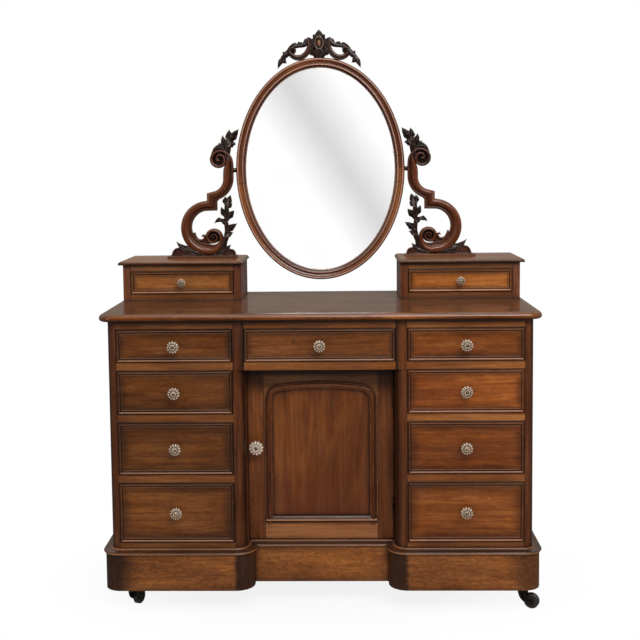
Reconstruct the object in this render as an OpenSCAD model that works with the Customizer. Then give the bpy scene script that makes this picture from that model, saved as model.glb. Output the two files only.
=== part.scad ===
// Twin-pedestal dressing table with jewel boxes and a swinging oval mirror, in millimetres.
// X runs to the right, Y to the back and Z up; the origin is on the floor under the middle.

/* [Main top] */
// Width of the main top
top_w = 1220; // [1160:10:1300]
// Depth of the main top
top_d = 550; // [520:10:600]
// Thickness of the main top
top_t = 21; // [20:1:30]
// Overhang of the main top past the carcass face
top_over = 22; // [16:1:30]
// Overhang of the main top past the carcass back
top_back_over = 10; // [4:1:20]
// Plan radius of the main top's front corners
top_corner_r = 45; // [30:1:60]
// Width of the thumb moulding worked on the edge
thumb_w = 16; // [10:1:20]
// Height of the upper curve of the thumb moulding
thumb_h = 13; // [8:1:16]

/* [Carcass] */
// Width of the carcass
carcass_w = 1174; // [1120:2:1190]
// Width of the kneehole between the pedestals
kneehole_w = 416; // [360:2:460]
// Thickness of the pedestal side panels
side_t = 18; // [14:1:22]
// Thickness of the back panels
back_t = 10; // [6:1:14]
// Width and radius of the rounded outer stiles
outer_stile = 26; // [20:1:36]
// Width and radius of the rounded inner stiles
inner_stile = 32; // [22:1:40]
// Depth of the drawer rails from front to back
rail_d = 60; // [40:1:80]
// Height of the rail under the lowest drawer
bottom_rail_h = 16; // [12:1:30]
// Height of the rails between the drawers
rail_h = 23; // [18:1:30]
// Height of the rail over the top drawers
top_rail_h = 22.5; // [16:0.5:30]
// Distance of the door face behind the carcass face
recess_d = 71; // [60:1:100]
// Thickness of the cupboard floor
floor_t = 16; // [12:1:24]
// Thickness of the pedestal bottom boards
bottom_t = 8; // [6:1:10]
// Thickness of the dust board over the cupboard
dust_t = 8; // [6:1:12]
// Width of the strips that the door closes on
stop_w = 12; // [8:1:16]
// Depth of the strips that the door closes on
stop_d = 10; // [6:1:14]
// Thickness of the cupboard shelf
shelf_t = 14; // [10:1:20]
// Height of the shelf above the cupboard floor
shelf_rise = 232; // [160:1:300]
// Depth of the runners and stops, measured from the panel they are fixed to
runner_w = 30; // [26:1:40]

/* [Drawers] */
// Height of the opening of the top drawer row
opening_1 = 92; // [80:1:110]
// Height of the opening of the second drawer row
opening_2 = 122; // [100:1:135]
// Height of the opening of the third drawer row
opening_3 = 147; // [120:1:160]
// Height of the opening of the lowest drawer row
opening_4 = 169; // [140:1:190]
// Thickness of the drawer fronts
front_t = 20; // [16:1:24]
// Space between the drawer boxes and the back panels
drawer_space = 28; // [14:1:60]
// Thickness of the drawer sides and backs
drawer_side_t = 9; // [7:1:12]
// Thickness of the drawer bottoms
drawer_bottom_t = 6; // [4:1:9]
// Height of the drawer bottom above the lower edge of the sides
drawer_bottom_rise = 5; // [3:1:8]
// Drop of the drawer sides below the top of the front
drawer_side_drop = 8; // [4:1:14]
// Gap around each drawer front
drawer_gap = 0.5; // [0.3:0.1:1.2]
// Width of the moulding planted around each drawer front
bead_w = 11; // [8:0.5:14]
// Height of the moulding planted around each drawer front
bead_h = 4; // [3:0.5:6]

/* [Plinth and casters] */
// Height of the plinth boards
plinth_h = 101.5; // [80:0.5:130]
// Thickness of the plinth boards
plinth_t = 20; // [16:1:26]
// Height of the plinth moulding
mould_h = 14.5; // [12:0.5:20]
// Projection of the moulding past the plinth face
mould_out = 6; // [3:0.5:9]
// Thickness of the caster plates
plate_t = 3; // [2:0.5:5]
// Radius of the caster wheels
wheel_r = 21; // [16:0.5:26]
// Width of the caster wheels
wheel_w = 17; // [12:0.5:22]
// Trail of the caster wheels behind their swivel pins
trail = 27; // [24:0.5:34]
// Radius of the swivel pins
swivel_pin_r = 4; // [3:0.5:5]
// Radius of the wheel axles
axle_r = 3; // [2:0.5:4]
// Height of the caster's swivel hub
hub_h = 13.5; // [10:0.5:18]
// Place of the left casters' pins, from the middle
caster_left_x = 532; // [500:1:550]
// Place of the right casters' pins, from the middle
caster_right_x = 560; // [500:1:562]
// Distance of the caster pins from the plinth face
caster_inset = 44; // [40:1:70]

/* [Door] */
// Thickness of the door frame
door_t = 20; // [16:1:24]
// Width of the door stiles
door_stile = 50; // [40:1:64]
// Thickness of the door panel
panel_t = 8; // [6:1:10]
// Gap under the door
door_foot_gap = 1.5; // [1:0.5:4]
// Width of the door's bottom rail, up to the moulding
door_rail = 47; // [40:1:70]
// Rise of the basket arch from its springing
arch_rise = 53; // [40:1:70]
// Corner radius of the basket arch
arch_r = 45; // [35:1:48]
// Width of the arched door moulding
door_mould_w = 19; // [14:1:24]
// Height of the arched door moulding
door_mould_h = 9; // [6:1:12]
// Radius of the hinge knuckles
knuckle_r = 3; // [2.5:0.5:4]
// Radius of the hinge pins
hinge_pin_r = 1.5; // [1:0.25:2]
// Length of each hinge
hinge_l = 56; // [40:1:80]
// Thickness of the hinge leaves
leaf_t = 1.2; // [0.8:0.1:2]
// Height of the lower hinge above the door's foot
hinge_low = 90; // [60:1:130]
// Distance of the upper hinge below the door's head
hinge_high = 87; // [60:1:130]

/* [Jewel boxes] */
// Width of each box
box_w = 356; // [320:2:380]
// Depth of each box
box_d = 223; // [190:1:240]
// Height of each box without its lid
box_h = 109; // [90:1:130]
// Distance of the boxes from the ends of the main top
box_side = 14.5; // [8:0.5:30]
// Distance of the boxes from the back edge of the main top
box_back = 9; // [0:1:20]
// Thickness of the box walls
box_t = 11; // [8:1:14]
// Width of the box stiles
box_stile = 22.5; // [18:0.5:28]
// Height of the box's bottom rail
box_rail_low = 21; // [14:0.5:26]
// Height of the box's top rail
box_rail_high = 19.5; // [14:0.5:26]
// Thickness of the box lids
lid_t = 11.5; // [9:0.5:16]
// Overhang of the lids at the front and the outer side
lid_over = 13; // [8:0.5:18]
// Overhang of the lids at the inner side
lid_inner_over = 6.5; // [3:0.5:12]
// Space between the box drawers and the box backs
box_drawer_space = 12; // [8:1:40]

/* [Mirror] */
// Half the width of the mirror frame
frame_a = 260; // [220:1:262]
// Half the height of the mirror frame
frame_b = 341; // [300:1:360]
// Width of the frame moulding
frame_w = 30; // [24:1:36]
// Depth of the mirror frame
frame_d = 26; // [22:1:30]
// Height of the mirror's pivots above the floor
mirror_z = 1227; // [1205:1:1240]
// Distance of the mirror behind the front edge of the main top
mirror_back = 440; // [420:1:460]
// Thickness of the mirror glass
glass_t = 4; // [3:0.5:6]
// Thickness of the mirror's backboard
backboard_t = 6; // [4:0.5:8]
// Radius of the pivot pins
pivot_r = 4; // [3:0.5:5]
// Radius of the pivot sockets
socket_r = 7; // [6:0.5:9]
// Height of the crest above the frame
crest_h = 85; // [70:1:95]

/* [Standards] */
// Thickness of the carved standards from front to back
standard_d = 28; // [22:1:34]
// Thickness of the standards' base plates
base_t = 6.5; // [5:0.5:10]
// Depth of the standards' base plates
base_d = 56; // [44:1:70]
// Place of the base plates' inner ends, from the middle
base_in = 261; // [255:1:280]
// Place of the base plates' outer ends, from the middle
base_out = 475; // [460:1:500]

/* [Knobs] */
// Length of the drawer knobs
knob_l = 33; // [26:1:38]
// Radius of the drawer knobs
knob_r = 17; // [12:0.5:20]
// Radius of the box knobs
box_knob_r = 13.5; // [10:0.5:16]
// Radius of the door knob
door_knob_r = 20.5; // [16:0.5:23]
// Number of petals pressed around each knob
petals = 12; // [8:1:16]

/* [Hidden] */
$fn = 48;
// Glue line that keeps neighbouring boards as separate solids
glue = 0.1;
// Gap under a drawer or beside a joint's moving face
slip = 0.3;
// Radial clearance of a pin in its bore
bore_gap = 0.05;
openings = [opening_1, opening_2, opening_3, opening_4];
knob_over = knob_l - top_over;
front_y = -(top_d - knob_over) / 2;
back_edge_y = front_y + top_d;
face_y = front_y + top_over;
back_y = back_edge_y - top_back_over;
plinth_out = 20;
caster_h = wheel_r * 2 + 2.3 + hub_h + 2 * slip + 0.1 + plate_t;
mould_z = caster_h + plinth_h;
case_z = mould_z + mould_h;
function sum_openings(first, i = 3) = i < first ? 0 : openings[i] + sum_openings(first, i - 1);
function row_z(row) = case_z + bottom_rail_h + sum_openings(row + 1) + (3 - row) * rail_h;
case_top_z = row_z(0) + opening_1 + top_rail_h;
table_h = case_top_z + top_t;
half_w = carcass_w / 2;
knee = kneehole_w / 2;
opening_in = knee + inner_stile;
opening_out = half_w - outer_stile;
opening_w = opening_out - opening_in;
pedestal_x = (opening_in + opening_out) / 2;
apron_z = row_z(0) - rail_h;
door_y = face_y + recess_d;
cupboard_y = door_y + door_t + slip;
plinth_mid_y = door_y - plinth_out;
outer_r = outer_stile + plinth_out;
inner_r = inner_stile + plinth_out;
drawer_l = back_y - back_t - drawer_space - face_y - front_t - glue;
box_y = back_edge_y - box_back - box_d;
box_x = top_w / 2 - box_side - box_w;
box_drawer_l = box_d - box_t - box_drawer_space - front_t - glue;
box_mid = box_x + box_w / 2;
lid_z = table_h + box_h;
base_z = lid_z + lid_t;
mirror_y = front_y + mirror_back;
box_row_z = table_h + box_rail_low;
box_opening_h = box_h - box_rail_low - box_rail_high;

MAHOGANY = [0.44, 0.22, 0.11];
DARK_WOOD = [0.20, 0.10, 0.06];
PINE = [0.72, 0.55, 0.34];
BRASS = [0.72, 0.58, 0.30];
IRON = [0.12, 0.11, 0.10];
KNOB_GLASS = [0.86, 0.82, 0.78];
SILVER = [0.80, 0.83, 0.85];

// Points of an elliptical arc, in equal steps of angle
function arc(cx, cy, rx, ry, from, to, steps) =
    [for (i = [0:steps]) let (a = from + (to - from) * i / steps) [cx + rx * cos(a), cy + ry * sin(a)]];

// A box between two corners
module block(low, high) {
    translate(low) cube(high - low);
}

// The children and their mirror image on the other side of the middle
module both_sides() {
    children();
    mirror([1, 0, 0]) children();
}

// A profile drawn outward and up, run along X with its outward side to the front
module run_front(x0, x1, y) {
    translate([x0, y, 0]) mirror([0, 1, 0]) rotate([90, 0, 90]) linear_extrude(x1 - x0) children();
}

// A profile drawn outward and up, run along Y with its outward side to the right
module run_right(y0, y1, x) {
    translate([x, y1, 0]) rotate([90, 0, 0]) linear_extrude(y1 - y0) children();
}

// A profile drawn outward and up, turned a quarter circle round a vertical axis
module turn(x, y, from) {
    translate([x, y, 0]) rotate([0, 0, from]) rotate_extrude(angle = 90) children();
}

// Main top

module thumb_profile() {
    under = top_t - thumb_h;
    polygon(concat(
        [[-2, 0], [thumb_w - under, 0]],
        arc(thumb_w - under, under, under, under, -75, 0, 5),
        arc(0, under, thumb_w, thumb_h, 15, 90, 5),
        [[-2, top_t]]));
}

module main_top() {
    inner_w = top_w / 2 - thumb_w;
    core_r = top_corner_r - thumb_w;
    side_y = front_y + top_corner_r;
    color(MAHOGANY) translate([0, 0, case_top_z]) {
        block([-inner_w, side_y, 0], [inner_w, back_edge_y, top_t]);
        block([core_r - inner_w, front_y + thumb_w, 0], [inner_w - core_r, side_y + 1, top_t]);
        run_front(core_r - inner_w, inner_w - core_r, front_y + thumb_w) thumb_profile();
        both_sides() {
            translate([inner_w - core_r, side_y, 0]) cylinder(h = top_t, r = core_r);
            turn(inner_w - core_r, side_y, -90) translate([core_r, 0]) thumb_profile();
            run_right(side_y, back_edge_y, inner_w) thumb_profile();
        }
    }
}

// Carcass

module side_panels() {
    inner_panel_y = face_y + inner_stile + glue;
    color(MAHOGANY) both_sides() {
        block([half_w - side_t, face_y + outer_stile + glue, case_z], [half_w, back_y, case_top_z]);
        block([knee, inner_panel_y, case_z], [knee + side_t, back_y, case_top_z]);
    }
}

// A quarter-round post, its round corner on the plus X and minus Y side
module quarter_post(x, w, z0, z1) {
    intersection() {
        translate([x - w, face_y + w, z0]) cylinder(h = z1 - z0, r = w, $fn = 64);
        block([x - w, face_y, z0], [x, face_y + w, z1]);
    }
}

module rounded_stiles() {
    color(MAHOGANY) both_sides() {
        quarter_post(half_w, outer_stile, case_z, case_top_z);
        mirror([1, 0, 0]) quarter_post(-knee, inner_stile, case_z, apron_z);
        block([knee, face_y, apron_z], [opening_in, face_y + inner_stile, case_top_z]);
    }
}

module drawer_rails() {
    rail_x0 = opening_in + glue;
    rail_x1 = opening_out - glue;
    color(MAHOGANY) {
        both_sides() {
            block([rail_x0, face_y, case_z], [rail_x1, face_y + rail_d, row_z(3)]);
            for (row = [0:2])
                block([rail_x0, face_y, row_z(row) - rail_h], [rail_x1, face_y + rail_d, row_z(row)]);
            block([rail_x0, face_y, row_z(0) + opening_1], [rail_x1, face_y + rail_d, case_top_z]);
        }
        block([glue - knee, face_y, apron_z], [knee - glue, face_y + rail_d, row_z(0)]);
        block([glue - knee, face_y, row_z(0) + opening_1], [knee - glue, face_y + rail_d, case_top_z]);
    }
}

// Runners carry the drawers from below, and guides keep them straight from the side
module drawer_runners() {
    y0 = face_y + rail_d + glue;
    y1 = back_y - back_t - glue;
    guide_h = 12;
    inner_x = knee + side_t + glue;
    outer_x = half_w - side_t - glue;
    guide_in = opening_in - slip;
    guide_out = opening_out + slip;
    color(PINE) both_sides() {
        for (row = [0:3]) {
            low = row == 3 ? case_z + bottom_t + glue : row_z(row) - rail_h;
            block([inner_x, y0, low], [inner_x + runner_w, y1, row_z(row)]);
            block([outer_x - runner_w, y0, low], [outer_x, y1, row_z(row)]);
            block([inner_x, y0, row_z(row) + glue], [guide_in, y1, row_z(row) + guide_h]);
            block([guide_out, y0, row_z(row) + glue], [outer_x, y1, row_z(row) + guide_h]);
        }
        block([knee - runner_w, y0, apron_z + dust_t + glue], [knee - glue, y1, row_z(0)]);
    }
}

module back_panels() {
    color(PINE) {
        both_sides()
            block([knee + side_t + glue, back_y - back_t, case_z], [half_w - side_t - glue, back_y, case_top_z]);
        block([glue - knee, back_y - back_t, case_z], [knee - glue, back_y, case_top_z]);
    }
}

module bottom_boards() {
    color(PINE) both_sides()
        block([knee + side_t + glue, face_y + rail_d + glue, case_z],
              [half_w - side_t - glue, back_y - back_t - glue, case_z + bottom_t]);
}

// The cupboard's floor, the dust board that is its ceiling and the strips that the door closes on
module cupboard_boards() {
    y1 = back_y - back_t - glue;
    low = case_z + floor_t + glue;
    color(MAHOGANY) {
        block([glue - knee, cupboard_y, case_z], [knee - glue, y1, case_z + floor_t]);
        block([glue - knee, face_y + rail_d + glue, apron_z], [knee - glue, y1, apron_z + dust_t]);
        block([glue - knee, cupboard_y, low], [stop_w - knee, cupboard_y + stop_d, apron_z - glue]);
        block([stop_w - knee + glue, cupboard_y, apron_z - stop_w - glue],
              [knee - glue, cupboard_y + stop_d, apron_z - glue]);
    }
}

module cupboard_shelf() {
    shelf_z = case_z + floor_t + shelf_rise;
    color(PINE) block([glue - knee, cupboard_y + stop_d + glue, shelf_z],
                      [knee - glue, back_y - back_t - glue, shelf_z + shelf_t]);
}

// Plinth

// A quarter ring of the plinth's thickness
module plinth_corner(x, y, r, from) {
    turn(x, y, from) translate([r - plinth_t, caster_h]) square([plinth_t, plinth_h - glue]);
}

module plinth_boards() {
    outer_x = half_w + plinth_out;
    inner_x = knee - plinth_out;
    front = face_y - plinth_out;
    z0 = caster_h;
    z1 = mould_z - glue;
    pillar = 84;
    color(MAHOGANY) {
        both_sides() {
            block([inner_x + inner_r + glue, front, z0], [outer_x - outer_r - glue, front + plinth_t, z1]);
            plinth_corner(outer_x - outer_r, front + outer_r, outer_r, -90);
            plinth_corner(inner_x + inner_r, front + inner_r, inner_r, 180);
            block([outer_x - plinth_t, front + outer_r + glue, z0], [outer_x, back_y, z1]);
            block([inner_x, front + inner_r + glue, z0], [inner_x + plinth_t, plinth_mid_y + plinth_t, z1]);
        }
        block([glue - inner_x, plinth_mid_y, z0], [inner_x - glue, plinth_mid_y + plinth_t, z1]);
        block([plinth_t + glue - outer_x, back_y - plinth_t, z0], [outer_x - plinth_t - glue, back_y, z1]);
    }
    color(PINE) for (place = caster_places)
        translate([place[0], place[1], 0]) caster_block(pillar, z0, z1);
}

// A corner block inside the plinth that takes a caster's screws
module caster_block(size, z0, z1) {
    half = min(size / 2, caster_inset - plinth_t - glue, half_w + plinth_out - plinth_t - glue - caster_right_x);
    block([-half, -half, z0], [half, half, z1]);
}

module mould_profile() {
    nose = 4;
    outer = plinth_out + mould_out - nose;
    polygon(concat(
        [[-plinth_t, 0], [outer - 2, 0]],
        arc(outer, nose + 0.5, nose, nose, -90, 90, 8),
        arc(outer, mould_h - 1.5, outer - 8, mould_h - 2 * nose - 2, 270, 180, 5),
        arc(5.5, mould_h - 2, 2, 2, 0, 90, 4),
        [[-plinth_t, mould_h]]));
}

// The children cut to a plan outline, so that a moulding meets its neighbour in a mitre
module mitred(outline) {
    intersection() {
        children();
        translate([0, 0, -1]) linear_extrude(mould_h + 2) polygon(outline);
    }
}

module plinth_moulding() {
    reach = plinth_out + mould_out;
    nose_x = knee - reach;
    nose_y = door_y - reach;
    root_x = knee + plinth_t;
    root_y = door_y + plinth_t;
    color(MAHOGANY) translate([0, 0, mould_z]) {
        both_sides() {
            run_front(opening_in + glue, opening_out - glue, face_y) mould_profile();
            turn(opening_out, face_y + outer_stile, -90) translate([outer_stile, 0]) mould_profile();
            run_right(face_y + outer_stile + glue, back_y, half_w) mould_profile();
            turn(opening_in, face_y + inner_stile, 180) translate([inner_stile, 0]) mould_profile();
            mitred([[nose_x, face_y], [nose_x, nose_y], [root_x, root_y], [root_x, face_y]])
                mirror([1, 0, 0]) run_right(face_y + inner_stile + glue, root_y, -knee) mould_profile();
        }
        mitred([[glue - root_x, root_y], [glue - nose_x, nose_y], [nose_x - glue, nose_y], [root_x - glue, root_y]])
            run_front(-root_x, root_x, door_y) mould_profile();
        block([plinth_t + glue - half_w, back_y - plinth_t, 0], [half_w - plinth_t - glue, back_y, mould_h]);
    }
}

// Casters

caster_front_y = face_y - plinth_out + caster_inset;
caster_back_y = back_y - caster_inset;
caster_places = [
    [-caster_left_x, caster_front_y, 68],
    [caster_right_x, caster_front_y, -24],
    [-caster_left_x, caster_back_y, 150],
    [caster_right_x, caster_back_y, 40],
];
hub_z0 = wheel_r * 2 + 2.3;
hub_z1 = hub_z0 + hub_h;

// Each plate carries a riveted pin that its horn turns on
module caster_plates() {
    head_h = 2.2;
    plate_r = 18;
    color(BRASS) for (place = caster_places) translate([place[0], place[1], 0]) {
        translate([0, 0, caster_h - plate_t]) cylinder(h = plate_t, r = plate_r);
        translate([0, 0, hub_z0 - head_h]) cylinder(h = caster_h - hub_z0, r = swivel_pin_r);
        translate([0, 0, hub_z0 - head_h - slip]) cylinder(h = head_h, r = swivel_pin_r + 2);
    }
}

// Outline of a horn's cheek, drawn with the trail along X and the height along Y
module cheek_outline() {
    boss = 7.5;
    polygon(concat(
        [[-10, hub_z1], [-10, hub_z0 + 4]],
        arc(trail, hub_z0, trail + 8, hub_z0 - wheel_r + boss, 190, 262, 8),
        arc(trail, wheel_r, boss, boss, -90, 80, 8),
        arc(trail, hub_z1 - 2, trail - 11, hub_z1 - wheel_r - boss - 2, 258, 180, 6),
        [[10, hub_z1]]));
}

module caster_horn(i) {
    place = caster_places[i];
    cheek_t = 4;
    inside = wheel_w / 2 + slip;
    color(IRON) translate([place[0], place[1], 0]) rotate([0, 0, place[2]]) {
        difference() {
            union() {
                translate([0, 0, hub_z0]) cylinder(h = hub_h, r = inside + cheek_t);
                for (v = [-inside - cheek_t, inside])
                    translate([0, v + cheek_t, 0]) rotate([90, 0, 0]) linear_extrude(cheek_t) cheek_outline();
            }
            translate([0, 0, hub_z0 - 1]) cylinder(h = hub_h + 2, r = swivel_pin_r + bore_gap);
        }
        translate([trail, 0, wheel_r]) rotate([90, 0, 0])
            cylinder(h = 2 * inside + cheek_t, r = axle_r, center = true);
    }
}

module caster_wheel(i) {
    place = caster_places[i];
    tread = 2.5;
    color(DARK_WOOD) translate([place[0], place[1], 0]) rotate([0, 0, place[2]])
        translate([trail, 0, wheel_r]) rotate([90, 0, 0]) rotate_extrude($fn = 64)
            polygon([
                [axle_r + bore_gap, -wheel_w / 2], [wheel_r - tread, -wheel_w / 2],
                [wheel_r, tread - wheel_w / 2], [wheel_r, wheel_w / 2 - tread],
                [wheel_r - tread, wheel_w / 2], [axle_r + bore_gap, wheel_w / 2],
            ]);
}

// Drawers

// Profile of the planted moulding: a round bead outside and a hollow down to the field
module bead_profile() {
    polygon(concat(
        [[0, -1]],
        arc(2.2, bead_h - 2.2, 2.2, 2.2, 180, 10, 6),
        arc(bead_w, bead_h - 1.5, bead_w - 4.6, bead_h - 1.9, 180, 270, 4),
        [[bead_w, -1]]));
}

// A mitred bar of moulding along the lower edge of a front of the given length
module bead_bar(w) {
    intersection() {
        translate([-w / 2, 0, 0]) rotate([90, 0, 90]) linear_extrude(w) rotate([0, 0, 90]) bead_profile();
        rotate([90, 0, 0]) linear_extrude(20, center = true)
            polygon([[-w / 2, 0], [w / 2, 0], [w / 2 - bead_w, bead_w], [bead_w - w / 2, bead_w]]);
    }
}

// A drawer front with its bead, centred on X, its foot at Z 0 and its face at Y 0
module drawer_front(w, h) {
    block([-w / 2, 0, 0], [w / 2, front_t, h]);
    translate([0, 0, h / 2]) for (turned = [0, 180]) {
        rotate([0, turned, 0]) translate([0, 0, -h / 2]) bead_bar(w);
        rotate([0, turned + 90, 0]) translate([0, 0, -w / 2]) bead_bar(h);
    }
}

// A whole drawer behind its front: two sides, a back and a bottom
module drawer(w, h, length) {
    side_h = h - drawer_side_drop;
    y0 = front_t + glue;
    y1 = y0 + length;
    floor_z = drawer_bottom_rise;
    back_z = floor_z + drawer_bottom_t + glue;
    color(MAHOGANY) drawer_front(w, h);
    color(PINE) {
        both_sides() block([w / 2 - drawer_side_t, y0, 0], [w / 2, y1, side_h]);
        block([drawer_side_t + glue - w / 2, y0, floor_z],
              [w / 2 - drawer_side_t - glue, y1, floor_z + drawer_bottom_t]);
        block([drawer_side_t + glue - w / 2, y1 - drawer_side_t, back_z],
              [w / 2 - drawer_side_t - glue, y1, side_h]);
    }
}

module pedestal_drawer(side, row) {
    translate([side * pedestal_x, face_y, row_z(row) + slip])
        drawer(opening_w - 2 * drawer_gap, openings[row] - slip - drawer_gap, drawer_l);
}

module drawer_centre() {
    translate([0, face_y, row_z(0) + slip])
        drawer(kneehole_w - 2 * drawer_gap, opening_1 - slip - drawer_gap, drawer_l);
}

module box_drawer(side) {
    translate([side * box_mid, box_y, box_row_z + slip])
        drawer(box_w - 2 * box_stile - 2 * drawer_gap, box_opening_h - slip - drawer_gap, box_drawer_l);
}

// Knobs

// A pressed knob on its shank, pointing along minus Y from the origin
module knob(r, length) {
    head = length * 0.52;
    shank_r = r * 0.42;
    notch_r = r * 0.1;
    rotate([90, 0, 0]) difference() {
        rotate_extrude() polygon(concat(
            [[0, 0], [shank_r * 1.35, 0], [shank_r, 3], [shank_r, length - head]],
            arc(0, length - head * 0.62, r, head * 0.62, 0, 80, 6),
            [[0, length]]));
        for (i = [0:petals - 1]) rotate([0, 0, 360 * i / petals])
            translate([r + notch_r * 0.45, 0, length - head * 1.2]) cylinder(h = head * 1.4, r = notch_r);
    }
}

function knob_rise(row) = row * 1.3;

module pedestal_knob(side, row) {
    color(KNOB_GLASS) translate([side * pedestal_x, face_y, row_z(row) + openings[row] / 2 + knob_rise(row)])
        knob(knob_r, knob_l);
}

module knob_centre() {
    color(KNOB_GLASS) translate([0, face_y, row_z(0) + opening_1 / 2]) knob(knob_r, knob_l);
}

module box_knob(side) {
    color(KNOB_GLASS) translate([side * box_mid, box_y, box_row_z + box_opening_h / 2])
        knob(box_knob_r, knob_l * 0.8);
}

// Door

door_x0 = 1.5 - knee;
door_x1 = knee - 2 * leaf_t - 0.6;
door_z0 = case_z + door_foot_gap;
door_z1 = apron_z - 2;
hinge_x = knee - knuckle_r - slip;
hinge_y = door_y - knuckle_r - slip;
hinge_places = [door_z0 + hinge_low, door_z1 - hinge_high];
opening_foot = door_z0 + door_rail + door_mould_w - 3;
opening_half = knee - door_stile - 1 - door_mould_w + 3;
arch_top = door_z1 - 44 - door_mould_w + 3;
mould_half = opening_half + door_mould_w - 3;
mould_top = arch_top + door_mould_w - 3;
mould_foot = opening_foot - door_mould_w + 3;
spring_z = mould_top - arch_rise;
crown_r = (mould_half * mould_half + arch_rise * arch_rise - 2 * mould_half * arch_r) / (2 * (arch_rise - arch_r));
arch_angle = atan((mould_half - arch_r) / (crown_r - arch_rise));

// The shape inside the arched moulding's outer line, drawn in by a margin
module arched_shape(inward) {
    intersection() {
        translate([inward - mould_half, mould_foot + inward])
            square([2 * (mould_half - inward), mould_top - mould_foot - 2 * inward]);
        union() {
            translate([inward - mould_half, mould_foot + inward])
                square([2 * (mould_half - inward), spring_z - mould_foot - inward]);
            for (side = [-1, 1])
                translate([side * (mould_half - arch_r), spring_z]) circle(r = arch_r - inward);
            intersection() {
                translate([0, mould_top - crown_r]) circle(r = crown_r - inward, $fn = 240);
                polygon([
                    [0, mould_top - crown_r],
                    [-2 * (mould_half - arch_r), mould_top - crown_r + 2 * (crown_r - arch_rise)],
                    [2 * (mould_half - arch_r), mould_top - crown_r + 2 * (crown_r - arch_rise)],
                ]);
            }
            translate([arch_r - mould_half, spring_z - 1]) square([2 * (mould_half - arch_r), 2]);
            polygon([
                [arch_r - mould_half, spring_z], [mould_half - arch_r, spring_z],
                [(mould_half - arch_r) * 0.5, spring_z - 1], [0, mould_top - crown_r],
            ]);
        }
    }
}

module door_frame() {
    color(MAHOGANY) difference() {
        block([door_x0, door_y, door_z0], [door_x1, door_y + door_t, door_z1]);
        translate([0, door_y + door_t + 1, 0]) rotate([90, 0, 0]) linear_extrude(door_t + 2)
            arched_shape(door_mould_w - 3);
    }
}

module door_panel() {
    y0 = door_y + (door_t - panel_t) / 2;
    color(MAHOGANY) translate([0, y0 + panel_t, 0]) rotate([90, 0, 0]) linear_extrude(panel_t)
        arched_shape(door_mould_w - 3 + glue);
}

// Section of the planted door moulding, from its outer line inward
module door_mould_profile() {
    polygon(concat(
        [[0, 0]],
        arc(2.5, 2.5, 2.5, 2.5, 180, 90, 3),
        arc(9.5, door_mould_h - 4.5, 5, 4.5, 180, 0, 8),
        [[door_mould_w, 1.5], [door_mould_w, 0]]));
}

// The moulding bent round one arc of the arch, its outer line at radius r
module arch_piece(x, z, r, from, angle) {
    translate([x, door_y, z]) rotate([90, 0, 0]) rotate([0, 0, from]) rotate_extrude(angle = angle, $fn = 128)
        translate([r, 0]) mirror([1, 0]) door_mould_profile();
}

module door_moulding() {
    color(MAHOGANY) {
        both_sides() {
            translate([mould_half, door_y, 0]) linear_extrude_between(mould_foot, spring_z)
                mirror([1, 0]) mirror([0, 1]) door_mould_profile();
            arch_piece(mould_half - arch_r, spring_z, arch_r, 0, 90 - arch_angle);
        }
        arch_piece(0, mould_top - crown_r, crown_r, 90 - arch_angle, 2 * arch_angle);
        intersection() {
            translate([-mould_half, door_y, mould_foot]) rotate([90, 0, 90]) linear_extrude(2 * mould_half)
                rotate([0, 0, 90]) door_mould_profile();
            block([-mould_half, door_y - 20, mould_foot], [mould_half, door_y, mould_foot + door_mould_w]);
        }
    }
}

// A linear extrusion from one height to another
module linear_extrude_between(z0, z1) {
    translate([0, 0, z0]) linear_extrude(z1 - z0) children();
}

module door_knob() {
    color(KNOB_GLASS) translate([(door_x0 - mould_half) / 2, door_y, (door_z0 + door_z1) / 2 + 21])
        knob(door_knob_r, knob_l * 1.15);
}

// A stack of knuckle slices: the fixed leaf holds the even ones and the moving leaf the odd ones
module knuckles(z, first) {
    part = hinge_l / 5;
    for (i = [first:2:4])
        translate([hinge_x, hinge_y, z - hinge_l / 2 + i * part + glue]) cylinder(h = part - 2 * glue, r = knuckle_r);
}

// The metal that joins one knuckle to its leaf, bent round the corner of the door
module hinge_link(z, leaf_x) {
    top = z + hinge_l / 5 - glue;
    block([hinge_x, hinge_y, z + glue], [leaf_x + leaf_t, hinge_y + knuckle_r, top]);
    block([leaf_x, hinge_y, z + glue], [leaf_x + leaf_t, door_y + slip, top]);
}

module door_hinges() {
    color(BRASS) for (z = hinge_places) {
        part = hinge_l / 5;
        block([knee - leaf_t, door_y + slip, z - hinge_l / 2], [knee, door_y + door_t, z + hinge_l / 2]);
        knuckles(z, 0);
        for (i = [0:2:4])
            hinge_link(z - hinge_l / 2 + i * part, knee - leaf_t);
        translate([hinge_x, hinge_y, z - hinge_l / 2 - 1]) cylinder(h = hinge_l + 2, r = hinge_pin_r);
    }
}

module door_hinge_leaves() {
    part = hinge_l / 5;
    color(BRASS) for (z = hinge_places) difference() {
        union() {
            block([door_x1, door_y + slip, z - hinge_l / 2], [door_x1 + leaf_t, door_y + door_t, z + hinge_l / 2]);
            knuckles(z, 1);
            for (i = [1:2:3])
                hinge_link(z - hinge_l / 2 + i * part, door_x1);
        }
        translate([hinge_x, hinge_y, z - hinge_l / 2 - 1])
            cylinder(h = hinge_l + 2, r = hinge_pin_r + bore_gap);
    }
}

// Jewel boxes

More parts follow.
